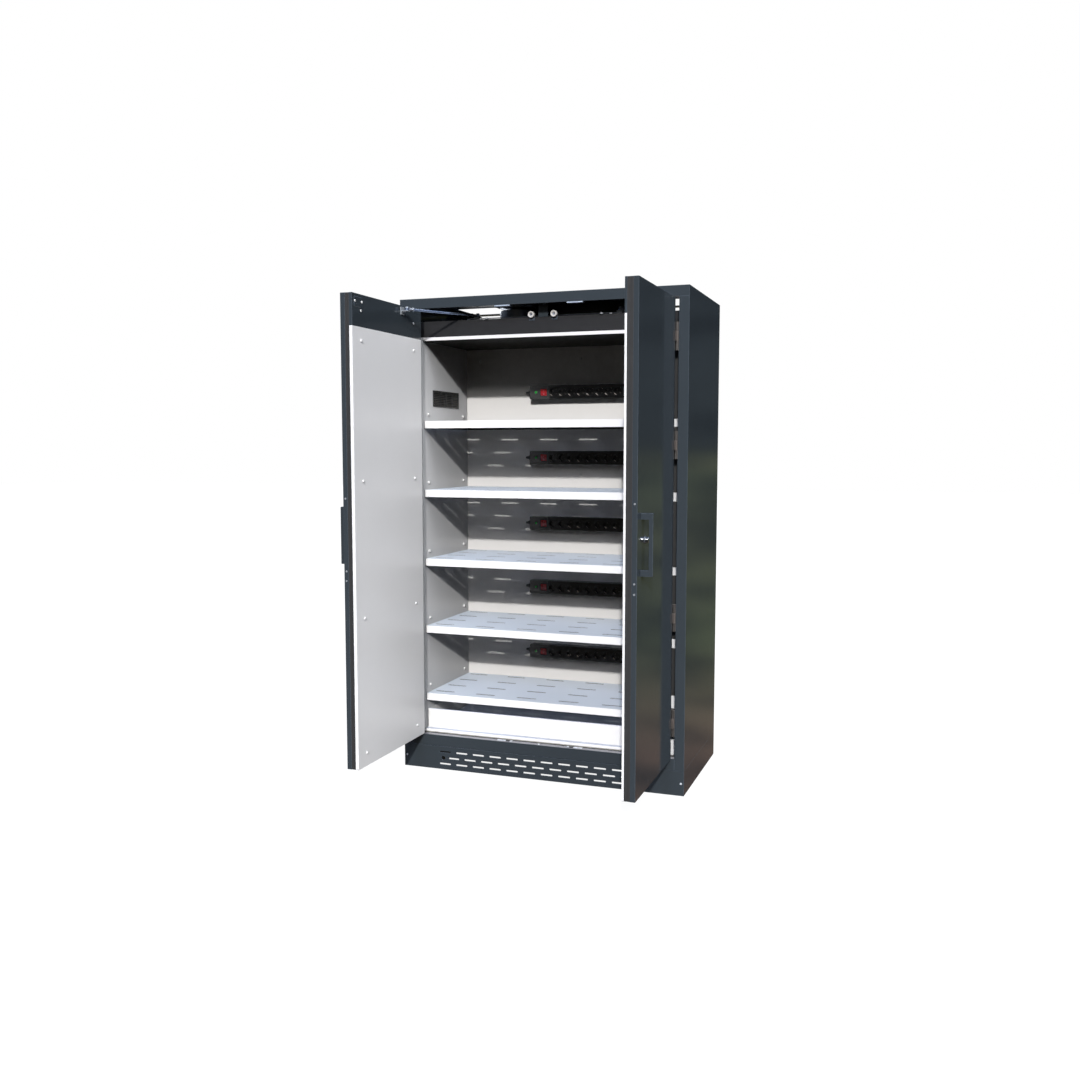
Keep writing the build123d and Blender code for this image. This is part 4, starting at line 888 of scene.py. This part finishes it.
def rod_ends(side, sign):
    """Thread and lock nut next to each eye of a closer rod."""
    low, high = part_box(f"closer_rod_{side}")
    inner, outer = sorted((abs(low.x), abs(high.x)))
    near = Vector((sign * (outer - EYE), low.y + EYE, (low.z + high.z) / 2))
    far = Vector((sign * (inner + EYE), high.y - EYE, near.z))
    thread = [(THREAD_BORE, THREAD_ENDS[0])]
    for along in row(THREAD_START, THREAD_PITCH, THREAD_TURNS):
        thread += [(THREAD_ROOT, along), (THREAD_CREST, along + THREAD_PITCH / 2)]
    thread.append((THREAD_BORE, THREAD_ENDS[1]))
    mesh = bmesh.new()
    for start, end in ((near, far), (far, near)):
        along = (end - start).normalized()
        lathe(mesh, start, along, thread, 20, loop=True)
        lathe(mesh, start, along,
              [(0.0046, 0.0240), (0.0075, 0.0240), (0.0079, 0.0247), (0.0079, 0.0293),
               (0.0075, 0.0300), (0.0046, 0.0300)], 6, loop=True)
    piece(f"rod_ends_{side}", f"closer_rod_{side}", nut_steel, mesh)


door_buffers()
deck_bolts()
for side, sign in SIDES.items():
    rod_ends(side, sign)


# ------------------------------------------------------------------ surroundings

# colours by height, from straight down at 0 to straight up at 1
OPEN_SKY = [(0.0, (0.05, 0.04, 0.03)), (0.44, (0.08, 0.07, 0.055)), (0.52, (0.06, 0.06, 0.055)),
            (0.62, (0.10, 0.11, 0.12)), (0.72, (0.46, 0.54, 0.70)), (1.0, (0.40, 0.52, 0.78))]
WOODS = [(0.0, (0.14, 0.09, 0.06)), (0.36, (0.17, 0.11, 0.08)), (0.41, (0.10, 0.12, 0.06)),
         (0.46, (0.11, 0.12, 0.065)), (0.488, (0.09, 0.11, 0.06)), (0.492, (0.16, 0.17, 0.09)),
         (0.4975, (0.14, 0.16, 0.09)), (0.4995, (0.026, 0.032, 0.034)),
         (0.60, (0.022, 0.028, 0.034)), (0.70, (0.12, 0.16, 0.22)), (1.0, (0.40, 0.52, 0.78))]
LEAF_SCALE = 26.0
LEAF_DETAIL = 8.0
LEAF_STRETCH = (1.0, 1.0, 1.6)
LEAF_SPAN = (0.42, 0.58)
LEAF_SHADES = (0.15, 1.6)        # darkest and brightest leaves, as a factor on the woods
WOODS_BEHIND = (-0.2, 0.3)       # y of a direction over which the woods come in
WOODS_SIDE = (0.0, 0.6)          # x of a direction between which they stand
WOODS_BLUR = 0.12
DIFFUSE_DIM = 0.7                # taken from the surroundings' strength for matt surfaces


def surroundings():
    """White to the camera; glossy paint mirrors open sky, with woods to the back and right."""
    world = bpy.data.worlds.new("outdoors")
    scene.world = world
    world.use_nodes = True
    tree = world.node_tree
    tree.nodes.clear()
    direction = add(tree, "ShaderNodeTexCoord").outputs["Generated"]
    height = maths(tree, "MULTIPLY_ADD", component(tree, direction, "z"), 0.5, 0.5)
    leaves = noise(tree, direction, LEAF_SCALE, LEAF_DETAIL, LEAF_STRETCH)
    leaves = grey_ramp(tree, leaves, LEAF_SPAN, *LEAF_SHADES)
    woods = mix_colour(tree, 1.0, ramp(tree, height, WOODS), leaves, "MULTIPLY")
    behind = climb(tree, component(tree, direction, "y"), *WOODS_BEHIND)
    aside = between(tree, component(tree, direction, "x"), *WOODS_SIDE, WOODS_BLUR)
    share = maths(tree, "MULTIPLY", behind, aside)
    rays = add(tree, "ShaderNodeLightPath").outputs
    strength = maths(tree, "MULTIPLY_ADD", rays["Is Diffuse Ray"], -DIFFUSE_DIM, 1.0)
    around = add(tree, "ShaderNodeBackground",
                 links={"Color": mix_colour(tree, share, ramp(tree, height, OPEN_SKY), woods),
                        "Strength": strength})
    plain = add(tree, "ShaderNodeBackground", {"Color": rgba(grey(1.0)), "Strength": 1.0})
    both = add(tree, "ShaderNodeMixShader",
               links={0: rays["Is Camera Ray"], 1: around.outputs[0], 2: plain.outputs[0]})
    add(tree, "ShaderNodeOutputWorld", links={"Surface": both.outputs[0]})


# ------------------------------------------------------------- light and view

SUN_TRAVEL = (-0.285, 1.0, -0.48)
SUN_COLOUR = (1.0, 0.985, 0.965)
FLOOR_HALF = 30.0                # half the width of the floor
FLOOR_GREY = 0.13                # catches the object's shadow
FLOOR_GLOW = 0.92                # lifts the floor to the white of the backdrop
CAMERA_PLACE = (1.4318, -4.2136, 1.3301)
CAMERA_FALL = 4.937              # degrees that the view falls below level
CAMERA_TURN = 19.99              # degrees round to the left of straight ahead
SENSOR_WIDTH = 36.0
LENS = 35.247


def shine(name, travel, strength, spread, colour):
    """A distant lamp whose light travels one way."""
    data = bpy.data.lights.new(name, "SUN")
    data.energy = strength
    data.angle = math.radians(spread)
    data.color = colour
    lamp = bpy.data.objects.new(name, data)
    lamp.rotation_mode = "QUATERNION"
    lamp.rotation_quaternion = Vector(travel).to_track_quat("-Z", "Y")
    scene.collection.objects.link(lamp)


def pale_floor():
    """A floor that looks as pale as the backdrop and keeps the object's shadow."""
    paint = bpy.data.materials.new("floor_pale")
    paint.use_nodes = True
    tree = paint.node_tree
    tree.nodes.clear()
    matt = add(tree, "ShaderNodeBsdfDiffuse", {"Color": rgba(grey(FLOOR_GREY))})
    pale = add(tree, "ShaderNodeEmission", {"Color": rgba(grey(1.0)), "Strength": FLOOR_GLOW})
    both = add(tree, "ShaderNodeAddShader", links={0: matt.outputs[0], 1: pale.outputs[0]})
    add(tree, "ShaderNodeOutputMaterial", links={"Surface": both.outputs[0]})

    mesh = bmesh.new()
    bmesh.ops.create_grid(mesh, x_segments=4, y_segments=4, size=FLOOR_HALF)
    data = bpy.data.meshes.new("floor")
    mesh.to_mesh(data)
    mesh.free()
    data.materials.append(paint)
    floor = bpy.data.objects.new("floor", data)
    scene.collection.objects.link(floor)
    floor.visible_diffuse = False
    floor.visible_glossy = False


def photo_camera():
    """The camera at the photo's angle."""
    camera = bpy.data.objects.new("camera", bpy.data.cameras.new("camera"))
    camera.location = CAMERA_PLACE
    camera.rotation_euler = (math.radians(90 - CAMERA_FALL), 0.0, math.radians(CAMERA_TURN))
    camera.data.sensor_width = SENSOR_WIDTH
    camera.data.lens = LENS
    scene.collection.objects.link(camera)
    scene.camera = camera


surroundings()
shine("sun", SUN_TRAVEL, 2.5, 1.4, SUN_COLOUR)
shine("sun_haze", SUN_TRAVEL, 0.80, 13.0, SUN_COLOUR)
shine("bright_cloud", (-0.66, 0.40, -0.64), 1.95, 40.0, (0.97, 0.98, 1.0))
shine("front_sky", (0.0, 0.79, -0.62), 1.0, 14.0, (0.76, 0.80, 1.0))
shine("back_fill", (0.55, -0.65, -0.52), 2.6, 50.0, (1.0, 1.0, 1.0))
pale_floor()
photo_camera()
